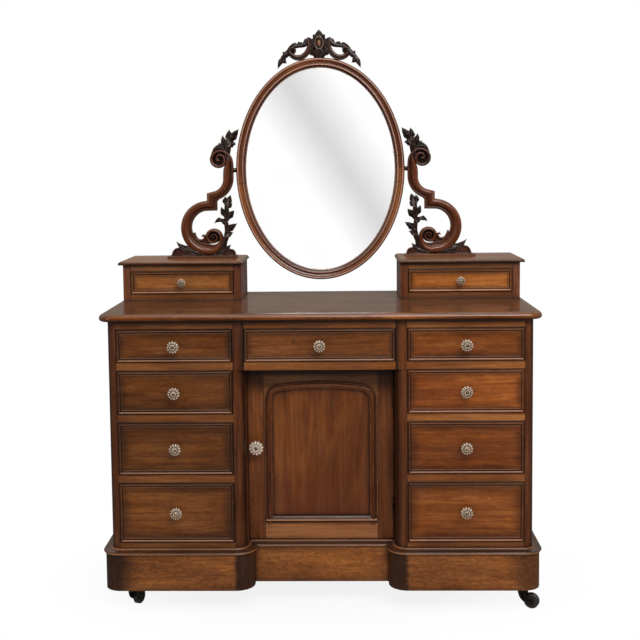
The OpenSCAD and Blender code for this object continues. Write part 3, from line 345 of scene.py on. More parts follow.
class NodeGroups:
    """Effects that several finishes share, each built once.

    The sizes of the figure's patterns are spots in a metre along the grain, across it and in depth.
    """

    made: ClassVar[dict[str, bpy.types.NodeTree]] = {}
    clouds: Triple = (3, 8, 8)
    bands: Triple = (1.6, 24, 24)
    streaks: Triple = (8, 150, 150)
    fibres: Triple = (40, 900, 900)
    flecks: Triple = (45, 120, 120)
    pores: Triple = (90, 1500, 1500)
    spots: Triple = (35, 60, 60)
    patches: float = 40
    arris: float = 0.0011
    thinness: float = 0.0035
    # The pale colour of rubbed carving, also painted glints on its edges
    bare_wood: Colour = (206, 186, 172)

    @classmethod
    def group(cls, name: str, inputs: dict, outputs: dict, build: Callable) -> bpy.types.NodeTree:
        """Return a group, and build it at its first use.

        Args:
            name: The group's name.
            inputs: Socket types of the inputs, by name.
            outputs: Socket types of the outputs, by name.
            build: A function that takes the graph and the inputs and returns the outputs by name.

        Returns:
            The node tree.
        """
        if name not in cls.made:
            tree = bpy.data.node_groups.new(name, "ShaderNodeTree")
            for way, sockets in (("INPUT", inputs), ("OUTPUT", outputs)):
                for label, kind in sockets.items():
                    tree.interface.new_socket(name=label, in_out=way, socket_type="NodeSocket" + kind)
            graph = Graph(tree)
            ways_in = graph.add("NodeGroupInput").outputs
            way_out = graph.add("NodeGroupOutput")
            given = {label: Wire(graph, ways_in[label]) for label in inputs}
            for label, value in build(graph, given).items():
                graph.put(way_out.inputs[label], value)
            cls.made[name] = tree
        return cls.made[name]

    @classmethod
    def wood(cls) -> bpy.types.NodeTree:
        """The figure of polished wood: broad bands, streaks, fibres and pores along X.

        Returns:
            The node tree.
        """

        def build(graph: Graph, given: dict[str, Wire]) -> dict[str, Wire]:
            """Add the group's nodes.

            Args:
                graph: The group's graph.
                given: The group's inputs, by name.

            Returns:
                The group's outputs, by name.
            """
            at = graph.wire("VectorMath", {0: given["Vector"], "Scale": given["Scale"]}, operation="SCALE")
            clouds = graph.noise(at, cls.clouds, 2, 0.8)
            bands = graph.noise(at, cls.bands, 3, 1.4)
            streaks = graph.noise(at, cls.streaks, 4, 0.5)
            fibres = graph.noise(at, cls.fibres, 2)
            tone = clouds * 0.32 + bands * 0.26 + fibres * 0.15 + streaks * 0.27
            colour = graph.mix(tone.ramp(0.39, 0.505), given["Dark"], given["Mid"])
            colour = graph.mix(tone.ramp(0.495, 0.6), colour, given["Light"])
            flecks = graph.noise(at, cls.flecks, 3, 0.8).ramp(0.32, 0.7)
            mottle = graph.mix(flecks, MOTTLE_DARK, MOTTLE_PALE)
            colour = graph.mix(given["Mottle"], colour, graph.mix(1.0, colour, mottle, "MULTIPLY"))
            pores = graph.noise(at, cls.pores, 1).ramp(0.3, 0.42, 1, 0)
            colour = graph.mix(pores * 0.4, colour, given["Dark"])
            spots = graph.noise(at, cls.spots, 3, 0.6).ramp(0.7, 0.76, 0, 0.7)
            return {"Color": graph.mix(spots, colour, SPECK_AND_SHADE_DARK), "Height": streaks * 0.5 - pores * 0.5}

        inputs = {"Vector": "Vector", "Scale": "Float", "Mottle": "Float"}
        inputs.update({name: "Color" for name in ("Dark", "Mid", "Light")})
        return cls.group("wood_figure", inputs, {"Color": "Color", "Height": "Float"}, build)

    @classmethod
    def age(cls, near: bool, soften: bool) -> bpy.types.NodeTree:
        """Old polish and painted light: dark-waxed corners with painted shade, and worn arrises paler with
        painted highlights.

        Args:
            near: True where neighbouring pieces of the same body also make corners.
            soften: True where sharp edges are rounded in the shading, False on carving.

        Returns:
            The node tree.
        """

        def build(graph: Graph, given: dict[str, Wire]) -> dict[str, Wire]:
            """Add the group's nodes.

            Args:
                graph: The group's graph.
                given: The group's inputs, by name.

            Returns:
                The group's outputs, by name.
            """
            # Corners waxed dark, with painted shade where occlusion finds them
            corner = graph.occlusion(given["Reach"], 6, only_local=not near).ramp(0.42, 0.99, 1, 0)
            colour = graph.mix(corner * given["Wax"], given["Color"], WAX_AND_SHADE_DARK)
            normal = flat = graph.wire("NewGeometry", output="Normal")
            patches = graph.noise(given["Vector"], cls.patches, 3)
            if soften:
                # Arrises paler, partly worn and partly painted highlight
                normal = graph.wire("Bevel", {"Radius": cls.arris}, samples=4)
                bend = graph.wire("VectorMath", {0: normal, 1: flat}, "Value", operation="DOT_PRODUCT")
                proud = bend.ramp(0.995, 0.9) * patches.ramp(0.35, 0.62, 0.35, 1)
                pale = graph.mix(1.0, colour, RUBBED_AND_LIT, "MULTIPLY")
            else:
                # On carving, the edges pale toward painted glints
                thin = graph.occlusion(cls.thinness, only_local=True, inside=True)
                proud = thin.ramp(0.6, 0.25) * patches.ramp(0.46, 0.6, 0.12, 1)
                pale = graph.mix(0.75, colour, linear(cls.bare_wood))
            rub_and_highlight = proud * given["Wear"] * (1 - corner)
            return {"Color": graph.mix(rub_and_highlight, colour, pale), "Normal": normal, "Corner": corner}

        inputs = {"Vector": "Vector", "Color": "Color", "Reach": "Float", "Wax": "Float", "Wear": "Float"}
        name = "old_polish_and_painted_light" + ("_near" if near else "") + ("" if soften else "_on_carving")
        return cls.group(name, inputs, {"Color": "Color", "Normal": "Vector", "Corner": "Float"}, build)


@dataclass(frozen=True)
class Finish:
    """A surface with one Principled material."""

    name: str

    def shade(self, graph: Graph) -> dict[str, Value]:
        """The Principled node's inputs, by name."""
        raise NotImplementedError

    def material(self) -> bpy.types.Material:
        """Build the finish.

        Returns:
            The material.
        """
        material = bpy.data.materials.new(self.name)
        material.use_nodes = True
        graph = Graph(material.node_tree)
        shader = next(node for node in graph.tree.nodes if node.type == "BSDF_PRINCIPLED")
        for name, value in self.shade(graph).items():
            graph.put(shader.inputs[name], value)
        return material


@dataclass(frozen=True)
class Tones:
    """The dark, middle and light colour of a board."""

    dark: Colour
    mid: Colour
    light: Colour

    def sockets(self) -> dict:
        """The three colours as inputs of the wood figure."""
        return {"Dark": linear(self.dark), "Mid": linear(self.mid), "Light": linear(self.light)}

    def at_level(self, level: float) -> "Tones":
        """The same colours, lighter or darker."""
        return Tones(*[tuple(round(c * level) for c in tone) for tone in (self.dark, self.mid, self.light)])


PINE_TONES = Tones((118, 82, 48), (150, 112, 70), (176, 140, 96))
# CORNER_TONES colour the painted shade on the plinth's rounded corners
CORNER_TONES = Tones((30, 15, 9), (43, 24, 15), (58, 34, 22))


@dataclass(frozen=True)
class Wood(Finish):
    """Aged wood with its grain along one direction, polished or plain."""

    tones: Tones
    grain: Grain = Grain.ALONG_X
    scale: float = 1.0
    mottle: float = 0.15
    roughness: float = 0.3
    shine: float = 0.36
    # How dark the waxed corners and their painted shade grow, and how far they reach
    wax: float = 0.75
    reach: float = 0.012
    # How pale the arrises grow, worn and with painted highlights
    wear: float = 0.6
    uv_size: Optional[Pair] = None
    near: bool = True
    soften: bool = True
    coat: float = 0.0
    coat_roughness: float = 0.15
    relief: float = 0.12
    # Painted light: the wood grows lighter toward the right end, toward the left where negative
    side_light: float = 0.0
    # Painted highlight lines and painted shade lines, by height
    lit: Rows = ()
    shaded: Rows = ()
    lit_tone: ClassVar[Colour] = (196, 136, 92)
    half_table: ClassVar[float] = 0.6
    smears: ClassVar[Triple] = (9, 22, 22)
    corner_roughness: ClassVar[float] = 0.25
    relief_height: ClassVar[float] = 0.0004

    def figure(self, graph: Graph, place: Value, tones: Tones, mottle: float) -> dict[str, Wire]:
        """Draw one board's figure.

        Args:
            graph: The material's graph.
            place: Coordinates with X along the grain.
            tones: The board's colours.
            mottle: How strongly it is mottled.

        Returns:
            Its Color and Height.
        """
        given = {"Vector": place, "Scale": self.scale, "Mottle": mottle, **tones.sockets()}
        return graph.outputs("Group", given, node_tree=NodeGroups.wood())

    def marked(self, graph: Graph, place: Value, colour: Wire) -> Wire:
        """Add the marks of one kind of board to its figure; plain boards have none."""
        return colour

    def levelled(self, graph: Graph, colour: Wire) -> Wire:
        """Add painted highlight lines and painted shade lines at their heights, on wood painted lighter
        toward one side.

        Args:
            graph: The material's graph.
            colour: The wood's colour.

        Returns:
            The colour with the lines.
        """
        x, _, z = graph.axes(graph.place())
        level = x * (self.side_light / self.half_table) + 1.0
        colour = graph.wire("VectorMath", {0: colour, "Scale": level}, operation="SCALE")
        colour = graph.mix(z.lines(self.lit), colour, linear(self.lit_tone))
        return graph.mix(z.lines(self.shaded), colour, SEAM_AND_SHADE_DARK)

    def shade(self, graph: Graph) -> dict[str, Value]:
        """Build the wood's colour, gloss and relief.

        Args:
            graph: The material's graph.

        Returns:
            The Principled node's inputs, by name.
        """
        if self.uv_size is None:
            place = graph.turned(graph.place(), self.grain)
        else:
            place = graph.scaled(graph.place("UV"), (*self.uv_size, 1))
        board = self.figure(graph, place, self.tones, self.mottle)
        colour = self.marked(graph, place, board["Color"])
        if self.side_light or self.lit or self.shaded:
            colour = self.levelled(graph, colour)
        given = {"Vector": place, "Color": colour, "Reach": self.reach, "Wax": self.wax, "Wear": self.wear}
        aged = graph.outputs("Group", given, node_tree=NodeGroups.age(self.near, self.soften))
        smear = graph.noise(place, self.smears, 3, 0.5)
        rough = smear.ramp(0.3, 0.7, self.roughness - 0.06, self.roughness + 0.09)
        return {
            "Base Color": aged["Color"],
            "Roughness": aged["Corner"] * self.corner_roughness + rough,
            "Normal": graph.bump(self.relief, self.relief_height, board["Height"], aged["Normal"]),
            "Specular IOR Level": self.shine,
            "Coat Weight": self.coat,
            "Coat Roughness": self.coat_roughness,
        }


@dataclass(frozen=True)
class DrawerWood(Wood):
    """A drawer: a polished front with a planted bead, painted highlights and painted shade round the bead,
    and pine with dovetails behind it.
    """

    near: bool = False
    front_back: float = 0.0
    half_width: float = 0.16
    half_height: float = 0.05
    middle: float = 0.0
    level: float = 0.0
    bead: float = 0.011
    tail_pitch: ClassVar[float] = 0.0135
    tail_width: ClassVar[float] = 0.0062
    tail_slope: ClassVar[float] = 0.22
    tail_length: ClassVar[float] = 0.013
    skin: ClassVar[float] = 0.0006
    # Pale lines on the bead: painted highlights, strongest on the lower bead
    worn_tone: ClassVar[Colour] = (196, 150, 122)
    worn: ClassVar[Rows] = ((0.0034, 0.0044, 0.0054, 0.0068, 1.0), (0.0095, 0.011, 0.012, 0.014, 0.5))
    # The dark seam round the front, then painted shade in the bead's hollow and along the field
    seams: ClassVar[Rows] = (
        (-0.02, -0.01, 0.0018, 0.0036, 0.97), (0.006, 0.0074, 0.009, 0.0115, 0.95),
        (0.0118, 0.0135, 0.0145, 0.017, 0.5),
    )

    def beaded(self, graph: Graph, place: Value, colour: Wire, inside_x: Wire, height: Wire) -> Wire:
        """Paint highlight lines on the planted bead, darken the seam round the front, and paint shade in the
        bead's hollow, on the upright bead and on the field's borders.

        Args:
            graph: The material's graph.
            place: Coordinates with X along the grain.
            colour: The front's figure.
            inside_x: The distance from the nearer end.
            height: The height over the front's middle line.

        Returns:
            The front's colour.
        """
        inside_z = self.half_height - abs(height)
        inside = graph.math("MINIMUM", inside_x, inside_z)
        level_bead = inside_z < inside_x
        # The lower bead gets the strongest painted highlight
        strength = level_bead * ((height < 0.0) * 0.16 + 0.24) + 0.1
        pale = graph.mix(strength * inside.bands(self.worn), colour, linear(self.worn_tone))
        # Painted shade on the upright bead and the field's borders
        upright = inside.ramp(0.002, 0.0146, 0.5, 0) * (1 - level_bead)
        drift = graph.noise(place, 26, 3, 0.5) * 0.012 + (inside - self.bead)
        border = drift.ramp(0.005, 0.008 + 0.36 * self.half_height, 0.5, 0) * inside.ramp(0.009, 0.011)
        return graph.mix(graph.strongest([inside.bands(self.seams), upright, border]), pale, SEAM_AND_SHADE_DARK)

    def marked(self, graph: Graph, place: Value, colour: Wire) -> Wire:
        """Add the bead to the front, and pine with the dovetails' ends behind it.

        Args:
            graph: The material's graph.
            place: Coordinates with X along the grain.
            colour: The front's figure.

        Returns:
            The drawer's colour.
        """
        x, y, z = graph.axes(graph.place())
        off_middle = abs(x - self.middle)
        front = self.beaded(graph, place, colour, self.half_width - off_middle, z - self.level)
        pine = self.figure(graph, graph.turned(place, Grain.ALONG_Y), PINE_TONES, 0.2)["Color"]
        depth = y - self.front_back
        tail = (depth * self.tail_slope + z.folded(self.tail_pitch)) < self.tail_width
        tail = tail * (off_middle > self.half_width - self.skin) * (depth < self.tail_length)
        return graph.mix((depth > 0.0) * (1 - tail), front, pine)


@dataclass(frozen=True)
class FramedWood(Wood):
    """A framed front: upright grain in the stiles, level grain in the rails and a dark joint between them."""

    middle: float = 0.0
    joint_x: float = 0.1605
    joint: float = 0.8
    joint_halves: ClassVar[Pair] = (0.0004, 0.0016)
    front_y: float = 1.0
    dusk_z: float = 9.0
    rail_tones: Tones = CORNER_TONES

    def marked(self, graph: Graph, place: Value, colour: Wire) -> Wire:
        """Add the rails, the joints, the shade under the board above and the sides.

        Args:
            graph: The material's graph.
            place: Not used.
            colour: The stiles' figure.

        Returns:
            The frame's colour.
        """
        at = graph.place()
        x, y, z = graph.axes(at)
        off = abs(abs(x) - self.middle)
        rail = self.figure(graph, graph.scaled(at, (1, 1, 1.3)), self.rail_tones, self.mottle)["Color"]
        side = self.figure(graph, graph.turned(at, Grain.ALONG_Y), self.tones, self.mottle)["Color"]
        dark = graph.strongest([
            abs(off - self.joint_x).ramp(*self.joint_halves, self.joint, 0),
            z.ramp(self.dusk_z - 0.09, self.dusk_z - 0.03, 0, 0.6),
            z.ramp(self.dusk_z - 0.04, self.dusk_z - 0.01, 0, 0.93),
        ])
        front = graph.mix(dark, graph.mix(off > self.joint_x, rail, colour), JOINT_AND_SHADE_DARK)
        return graph.mix(y > self.front_y, front, side)


@dataclass(frozen=True)
class StileWood(Wood):
    """The rounded stiles, with painted shade where they turn away."""

    inner_edge: float = 0.2079
    inner_turn: float = 0.017
    outer_edge: float = 0.587
    outer_turn: float = 0.014

    def marked(self, graph: Graph, place: Value, colour: Wire) -> Wire:
        """Paint shade on the rounded edges, where they turn away.

        Args:
            graph: The material's graph.
            place: Not used.
            colour: The stiles' figure.

        Returns:
            The stiles' colour.
        """
        off = abs(graph.axes(graph.place())[0])
        inner = off.ramp(self.inner_edge, self.inner_edge + self.inner_turn, 0.85, 0)
        outer = off.ramp(self.outer_edge - self.outer_turn, self.outer_edge - 0.001, 0, 0.75)
        # Painted shade where the stiles turn away
        return graph.mix(graph.strongest([inner, outer]), colour, SPECK_AND_SHADE_DARK)


@dataclass(frozen=True)
class TopWood(Wood):
    """A top or lid: a polished face, and a redder moulded edge with painted shadow in the hollow under it."""

    edge_tones: Tones = Tones((72, 34, 9), (100, 51, 15), (130, 75, 27))
    reach_x: float = 0.6
    reach_y: float = -0.2595
    face_z: float = 0.8325
    dark_z: Pair = (0.8185, 0.8225)

    def marked(self, graph: Graph, place: Value, colour: Wire) -> Wire:
        """Add the moulded edge and the painted shadow under it.

        Args:
            graph: The material's graph.
            place: Coordinates with X along the grain.
            colour: The face's figure.

        Returns:
            The board's colour.
        """
        x, y, z = graph.axes(graph.place())
        beside = abs(x).ramp(self.reach_x, self.reach_x + 0.003)
        before = y.ramp(self.reach_y, self.reach_y - 0.003)
        on_edge = z.ramp(self.face_z + 0.001, self.face_z - 0.001) * graph.strongest([beside, before])
        edge = self.figure(graph, place, self.edge_tones, 0.4)["Color"]
        # Painted shadow line under the moulded edge
        edge = graph.mix(z.ramp(*self.dark_z, 0.85, 0), edge, JOINT_AND_SHADE_DARK)
        return graph.mix(on_edge, colour, edge)


@dataclass(frozen=True)
class PanelWood(Wood):
    """The door's sunk panel, with a broad flame in its figure, darker and redder toward its foot."""

    foot_z: float = 0.25
    foot_fade: float = 0.17
    foot_tone: Colour = (84, 38, 20)
    bow: float = 5.0
    flame_size: Triple = (13, 1, 3.2)
    flame_tones: Tones = Tones((100, 52, 17), (116, 63, 22), (130, 74, 29))

    def marked(self, graph: Graph, place: Value, colour: Wire) -> Wire:
        """Add the flame, and darken and redden the panel toward its foot.

        Args:
            graph: The material's graph.
            place: Coordinates with X along the grain.
            colour: The panel's figure.

        Returns:
            The panel's colour.
        """
        x, _, z = graph.axes(graph.place())
        bowed = graph.wire("CombineXYZ", {0: x, 1: 0.0, 2: z - x * x * self.bow})
        flame = graph.noise(bowed, self.flame_size, 3, 1.2)
        lighter = self.figure(graph, place, self.flame_tones, 0.1)["Color"]
        colour = graph.mix(flame.ramp(0.4, 0.66, 0, 0.6), colour, lighter)
        # Darker and redder toward the foot
        at_foot = z.ramp(self.foot_z, self.foot_z + self.foot_fade, 0.4, 0)
        return graph.mix(at_foot, colour, linear(self.foot_tone))


@dataclass(frozen=True)
class PlinthWood(Wood):
    """The plinth: mottled fronts that fade into painted shade on the rounded corners."""

    outer_edge: float = 0.561
    inner_edge: float = 0.2405
    side_x: float = 0.6
    front_y: float = -0.2
    fleck_size: float = 230.0
    fleck_tone: Colour = (50, 27, 12)

    def corners(self, graph: Graph, at: Wire) -> Value:
        """Find the painted shade on the rounded corners, stronger on the left, and the darkening toward the
        floor.

        Args:
            graph: The material's graph.
            at: The table's coordinates.

        Returns:
            The darkness from 0 to 1.
        """
        x, y, z = graph.axes(at)
        off = abs(x)
        drift = graph.noise(at, (9, 9, 22), 3) * 0.05 + off
        # Painted shade on the outer corners, stronger on the left
        outer = drift.ramp(self.outer_edge - 0.045, self.outer_edge + 0.034) * x.ramp(-0.2, 0.2, 0.95, 0.6)
        blur = graph.noise(at, (20, 20, 50), 4) * 0.02 + off
        inner = blur.ramp(self.inner_edge + 0.002, self.inner_edge + 0.016, 0.92, 0)
        at_front = y.ramp(-0.21, -0.16, 1, 0)
        return graph.strongest([outer * at_front, inner * (y < self.front_y), z.ramp(0.06, 0.082, 0.55, 0)])

    def marked(self, graph: Graph, place: Value, colour: Wire) -> Wire:
        """Add the sides' own figure, flecks and the painted shade on the corners.

        Args:
            graph: The material's graph.
            place: Not used.
            colour: The fronts' figure.

        Returns:
            The plinth's colour.
        """
        at = graph.place()
        beside = abs(graph.axes(at)[0]).ramp(self.side_x - 0.0015, self.side_x)
        along = self.figure(graph, graph.turned(at, Grain.ALONG_Y), self.tones, self.mottle)["Color"]
        corner = self.figure(graph, graph.turned(at, Grain.ALONG_Z), CORNER_TONES, 0.5)["Color"]
        board = graph.mix(beside, colour, along)
        flecks = graph.noise(graph.scaled(at, (1, 1, 1.6)), self.fleck_size, 2).ramp(0.63, 0.7, 0, 0.6)
        board = graph.mix(flecks, board, linear(self.fleck_tone))
        return graph.mix(self.corners(graph, at), board, corner)


@dataclass(frozen=True)
class CarvedWood(Wood):
    """Dark polished carving, whose sharp edges stay sharp."""

    near: bool = False
    soften: bool = False
    relief: float = 0.05


@dataclass(frozen=True)
class FrameWood(CarvedWood):
    """The oval frame's moulding: painted highlights on each bead, painted shade in the quirk beside it and
    fine joints at the pivots.
    """

    across: float = 40 / 43
    joint_u: float = 0.0201
    quarter: ClassVar[float] = 0.25
    bead_tone: ClassVar[Colour] = (196, 150, 130)
    bead_highlights: ClassVar[Rows] = ((0.19, 0.09, 0.6), (0.68, 0.09, 0.75), (0.97, 0.04, 0.3))
    quirk_shades: ClassVar[Rows] = (
        (0.0, 0.14, 0.9), (0.3, 0.06, 0.5), (0.58, 0.06, 0.5), (0.8, 0.1, 0.9), (0.9, 0.08, 0.7),
    )

    def marked(self, graph: Graph, place: Value, colour: Wire) -> Wire:
        """Add the painted highlight and shade lines along the moulding, and the joints at the pivots.

        Args:
            graph: The material's graph.
            place: Not used.
            colour: The moulding's figure.

        Returns:
            The moulding's colour.
        """
        round_oval, over, _ = graph.axes(graph.place("UV"))
        share = over / self.across
        # Painted highlights along each bead
        colour = graph.mix(share.lines(self.bead_highlights), colour, linear(self.bead_tone))
        # Painted shade in each quirk, and the dark joints
        joint = abs(round_oval.folded(self.quarter) - self.joint_u).ramp(0.0002, 0.0007, 0.8, 0)
        return graph.mix(graph.strongest([share.lines(self.quirk_shades), joint]), colour, QUIRK_DARK)


@dataclass(frozen=True)
class OldMetal(Finish):
    """A worn metal with darker tarnish."""

    bright: Colour
    tarnish: Colour
    metallic: float = 1.0
    roughness: float = 0.38
    spots: float = 90.0
    grit: ClassVar[float] = 12.0
    hollow: ClassVar[float] = 0.004
    arris: ClassVar[float] = 0.0005

    def shade(self, graph: Graph) -> dict[str, Value]:
        """Build the metal's colour, gloss and grit.

        Args:
            graph: The material's graph.

        Returns:
            The Principled node's inputs, by name.
        """
        at = graph.place()
        cloud = graph.noise(at, self.spots, 5, 0.6)
        worn = cloud.ramp(0.38, 0.6) * graph.occlusion(self.hollow, only_local=True).ramp(0.5, 0.95)
        rounded = graph.wire("Bevel", {"Radius": self.arris}, samples=4)
        return {
            "Base Color": graph.mix(worn, linear(self.tarnish), linear(self.bright)),
            "Roughness": cloud.ramp(0.3, 0.7, self.roughness + 0.16, self.roughness - 0.08),
            "Normal": graph.bump(0.25, 0.0003, graph.noise(at, self.spots * self.grit), rounded),
            "Metallic": self.metallic,
        }


@dataclass(frozen=True)
class PressedGlass(Finish):
    """Pressed glass of the knobs: petal tips and boss painted bright as highlights, darker flutes painted as
    the wood seen through them, and painted shade in the creases.
    """

    name: str = "pressed_glass"
    tint: Colour = (224, 204, 182)
    flute: Colour = (122, 100, 80)
    crease: Colour = (46, 30, 20)
    clearness: float = 0.35
    petals: float = 12.0
    rim: ClassVar[Rows] = ((0.29, 0.34, 0.58, 0.63, 1.0),)
    boss: ClassVar[Rows] = ((0.73, 0.76, 0.88, 0.91, 0.9),)

    def shade(self, graph: Graph) -> dict[str, Value]:
        """Build the glass, whose petals follow the knob's own UV map.

        Args:
            graph: The material's graph.

        Returns:
            The Principled node's inputs, by name.
        """
        at = graph.place()
        along, around, _ = graph.axes(graph.place("UV"))
        flute = (around * self.petals).folded(0.5)
        # Painted highlights on the petal tips and the boss
        tips = flute.ramp(0.2, 0.42, 1, 0.2) * along.bands(self.rim)
        cloud = graph.noise(at, 160, 3).ramp(0.35, 0.65, 0.55, 1)
        body = graph.mix(
            cloud * graph.strongest([tips, along.bands(self.boss)]), linear(self.flute), linear(self.tint)
        )
        # Painted shade in the creases
        closed = graph.occlusion(0.004, only_local=True).ramp(0.4, 0.85)
        return {
            "Base Color": graph.mix(closed, linear(self.crease), body),
            "Roughness": cloud.ramp(0.5, 1, 0.12, 0.05),
            "Normal": graph.bump(0.2, 0.0004, graph.noise(at, 500)),
            "Transmission Weight": self.clearness,
            "IOR": 1.5,
        }


@dataclass(frozen=True)
class MirrorSilver(Finish):
    """Silvered glass with faint clouding and dark specks near its rim."""

    name: str = "silvered_glass"
    centre: Triple = (0.0, 0.1705, 1.227)
    rim: Pair = (0.23, 0.311)
    speck: Colour = (150, 140, 126)
    clear: Colour = (252, 252, 252)
    hazy: Colour = (254, 254, 254)

    def shade(self, graph: Graph) -> dict[str, Value]:
        """Build the silver, with no roughness so that its rays stay sharp.

        Args:
            graph: The material's graph.

        Returns:
            The Principled node's inputs, by name.
        """
        at = graph.place()
        off = graph.wire("VectorMath", {0: at, 1: self.centre}, operation="SUBTRACT")
        out = graph.length(graph.scaled(off, (1 / self.rim[0], 0, 1 / self.rim[1])))
        foxed = graph.noise(at, 210, 5, 0.5).ramp(0.6, 0.7) * out.ramp(0.97, 1.0)
        haze = graph.noise(at, 9, 3).ramp(0.35, 0.7)
        silver = graph.mix(haze, linear(self.clear), linear(self.hazy))
        colour = graph.mix(foxed, silver, linear(self.speck))
        return {"Base Color": colour, "Roughness": 0.0, "Metallic": 1.0}


class Workshop:
    """The finishes by name, each built once, and the way to put them on pieces."""

    def __init__(self) -> None:
        """Start with nothing built."""
        self.made: dict[str, bpy.types.Material] = {}

    def material(self, finish: Finish) -> bpy.types.Material:
        """Return a finish's material, and build it at its first use.

        Args:
            finish: The finish.

        Returns:
            The material.
        """
        if finish.name not in self.made:
            self.made[finish.name] = finish.material()
        return self.made[finish.name]

    def dress(self, node: str, finish: Finish) -> None:
        """Give a node of the frame a finish.

        Args:
            node: The node's name.
            finish: The finish that goes on it.
        """
        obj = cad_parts[node]
        material = self.material(finish)
        if not obj.material_slots:
            obj.data.materials.append(material)
        for place in obj.material_slots:
            place.material = material
        LOG.info("%s keeps its shape and gets %s", node, finish.name)

    def finish_piece(
        self, obj: bpy.types.Object, finish: Finish, body: str, nodes: Sequence[str], slot: str
    ) -> None:
        """Dress a new piece, fasten it to its body and log it.

        Args:
            obj: The piece.
            finish: Its finish.
            body: The body that it rides on.
            nodes: The nodes of the frame that it stands for.
            slot: Not used.
        """
        obj.data.materials.clear()
        obj.data.materials.append(self.material(finish))
        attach(obj, body)
        if nodes:
            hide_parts(*nodes)
        LOG.info("%s: %d faces, rides on %s", obj.name, len(obj.data.polygons), body)


def pick(*objects: bpy.types.Object) -> None:
    """Leave edit mode and select only the given pieces.

    Args:
        objects: The pieces, the active one first.
    """
    if bpy.context.mode != "OBJECT":
        bpy.ops.object.mode_set(mode="OBJECT")
    bpy.ops.object.select_all(action="DESELECT")
    for obj in objects:
        obj.select_set(True)
    if objects:
        bpy.context.view_layer.objects.active = objects[0]


def face_outward() -> None:
    """Turn all faces of the active piece outward."""
    bpy.ops.object.mode_set(mode="EDIT")
    bpy.ops.mesh.select_all(action="SELECT")
    bpy.ops.mesh.normals_make_consistent(inside=False)
    bpy.ops.object.mode_set(mode="OBJECT")


def tidy_mesh(obj: bpy.types.Object, merge: float = 1e-6, smooth: float = 38.0) -> bpy.types.Object:
    """Merge doubles, close open ends, turn the faces outward and smooth the shading.

    Args:
        obj: The piece.
        merge: Distance under which vertices are merged, in metres.
        smooth: Angle over which an edge stays sharp, in degrees.

    Returns:
        The same piece.
    """
    pick(obj)
    bpy.ops.object.mode_set(mode="EDIT")
    bpy.ops.mesh.select_all(action="SELECT")
    bpy.ops.mesh.remove_doubles(threshold=merge)
    bpy.ops.mesh.fill_holes(sides=0)
    bpy.ops.object.mode_set(mode="OBJECT")
    face_outward()
    bpy.ops.object.shade_smooth_by_angle(angle=math.radians(smooth))
    return obj


def bent_strip(
    name: str, rings: Sequence[Ring], closed: bool = False, smooth: float = 38.0
) -> bpy.types.Object:
    """Bend a flat grid into a band that passes through rings of points.

    Args:
        name: The piece's name.
        rings: Rings with equal numbers of points, in metres.
        closed: True where the last ring meets the first.
        smooth: Angle over which an edge stays sharp, in degrees.

    Returns:
        The piece.
    """
    stations = list(rings) + ([rings[0]] if closed else [])
    along, around = len(stations) - 1, len(stations[0])
    pick()
    bpy.ops.mesh.primitive_grid_add(x_subdivisions=along, y_subdivisions=around, size=2)
    obj = bpy.context.object
    obj.name = obj.data.name = name
    for vertex in obj.data.vertices:
        ring = stations[round((vertex.co.x + 1) / 2 * along)]
        vertex.co = ring[round((vertex.co.y + 1) / 2 * around) % around]
    return tidy_mesh(obj, smooth=smooth)


def lathe(name: str, profile: Points, steps: int = 48) -> bpy.types.Object:
    """Turn a profile round the Y axis.

    Args:
        name: The piece's name.
        profile: Points of radius and Y, in metres.
        steps: Divisions of the full turn.

    Returns:
        The piece, at the origin.
    """
    points = [Vector((radius, y, 0.0)) for radius, y in profile]
    pick()
    bpy.ops.mesh.primitive_plane_add(size=MM, calc_uvs=False)
    obj = bpy.context.object
    obj.name = obj.data.name = name
    bpy.ops.object.mode_set(mode="EDIT")
    bpy.ops.mesh.merge(type="CENTER")
    bpy.ops.transform.translate(value=points[0])
    for start, end in zip(points, points[1:]):
        bpy.ops.mesh.extrude_vertices_move(TRANSFORM_OT_translate={"value": end - start})
    bpy.ops.mesh.select_all(action="SELECT")
    bpy.ops.mesh.spin(steps=steps, angle=math.tau, center=(0, 0, 0), axis=(0, 1, 0))
    bpy.ops.object.mode_set(mode="OBJECT")
    return tidy_mesh(obj, merge=2e-5)


def copy_to(obj: bpy.types.Object, name: str, matrix: Matrix) -> bpy.types.Object:
    """Copy a piece with its own mesh, and put the copy's place into the mesh.

    Args:
        obj: The piece to copy.
        name: The copy's name.
        matrix: The place of the copy.

    Returns:
        The copy.
    """
    pick(obj)
    bpy.ops.object.duplicate(linked=False)
    copy = bpy.context.object
    copy.name = copy.data.name = name
    copy.matrix_world = matrix
    bpy.ops.object.transform_apply(location=True, rotation=True, scale=True)
    if matrix.determinant() < 0:
        face_outward()
    return copy


def join(name: str, parts: Sequence[bpy.types.Object]) -> bpy.types.Object:
    """Join parts into one piece with the first one's place.

    Args:
        name: The joined piece's name.
        parts: The parts.

    Returns:
        The joined piece.
    """
    pick(*parts)
    bpy.ops.object.join()
    joined = bpy.context.object
    joined.name = joined.data.name = name
    return joined


def remove(obj: bpy.types.Object) -> None:
    """Delete a pattern that was only copied from."""
    bpy.data.objects.remove(obj, do_unlink=True)


# Finishes of the case, the drawers and the door

# Levels of each front: they differ from board to board, and lift the right-hand fronts as painted light from
# that side
DRAWER_LEVELS = {
    "drawer_left_1": 0.98, "drawer_left_2": 0.96, "drawer_left_3": 0.91, "drawer_left_4": 1.0,
    "drawer_right_1": 1.02, "drawer_right_2": 1.17, "drawer_right_3": 1.08, "drawer_right_4": 1.04,
    "drawer_centre": 0.96, "box_drawer_left": 1.05, "box_drawer_right": 1.08,
}
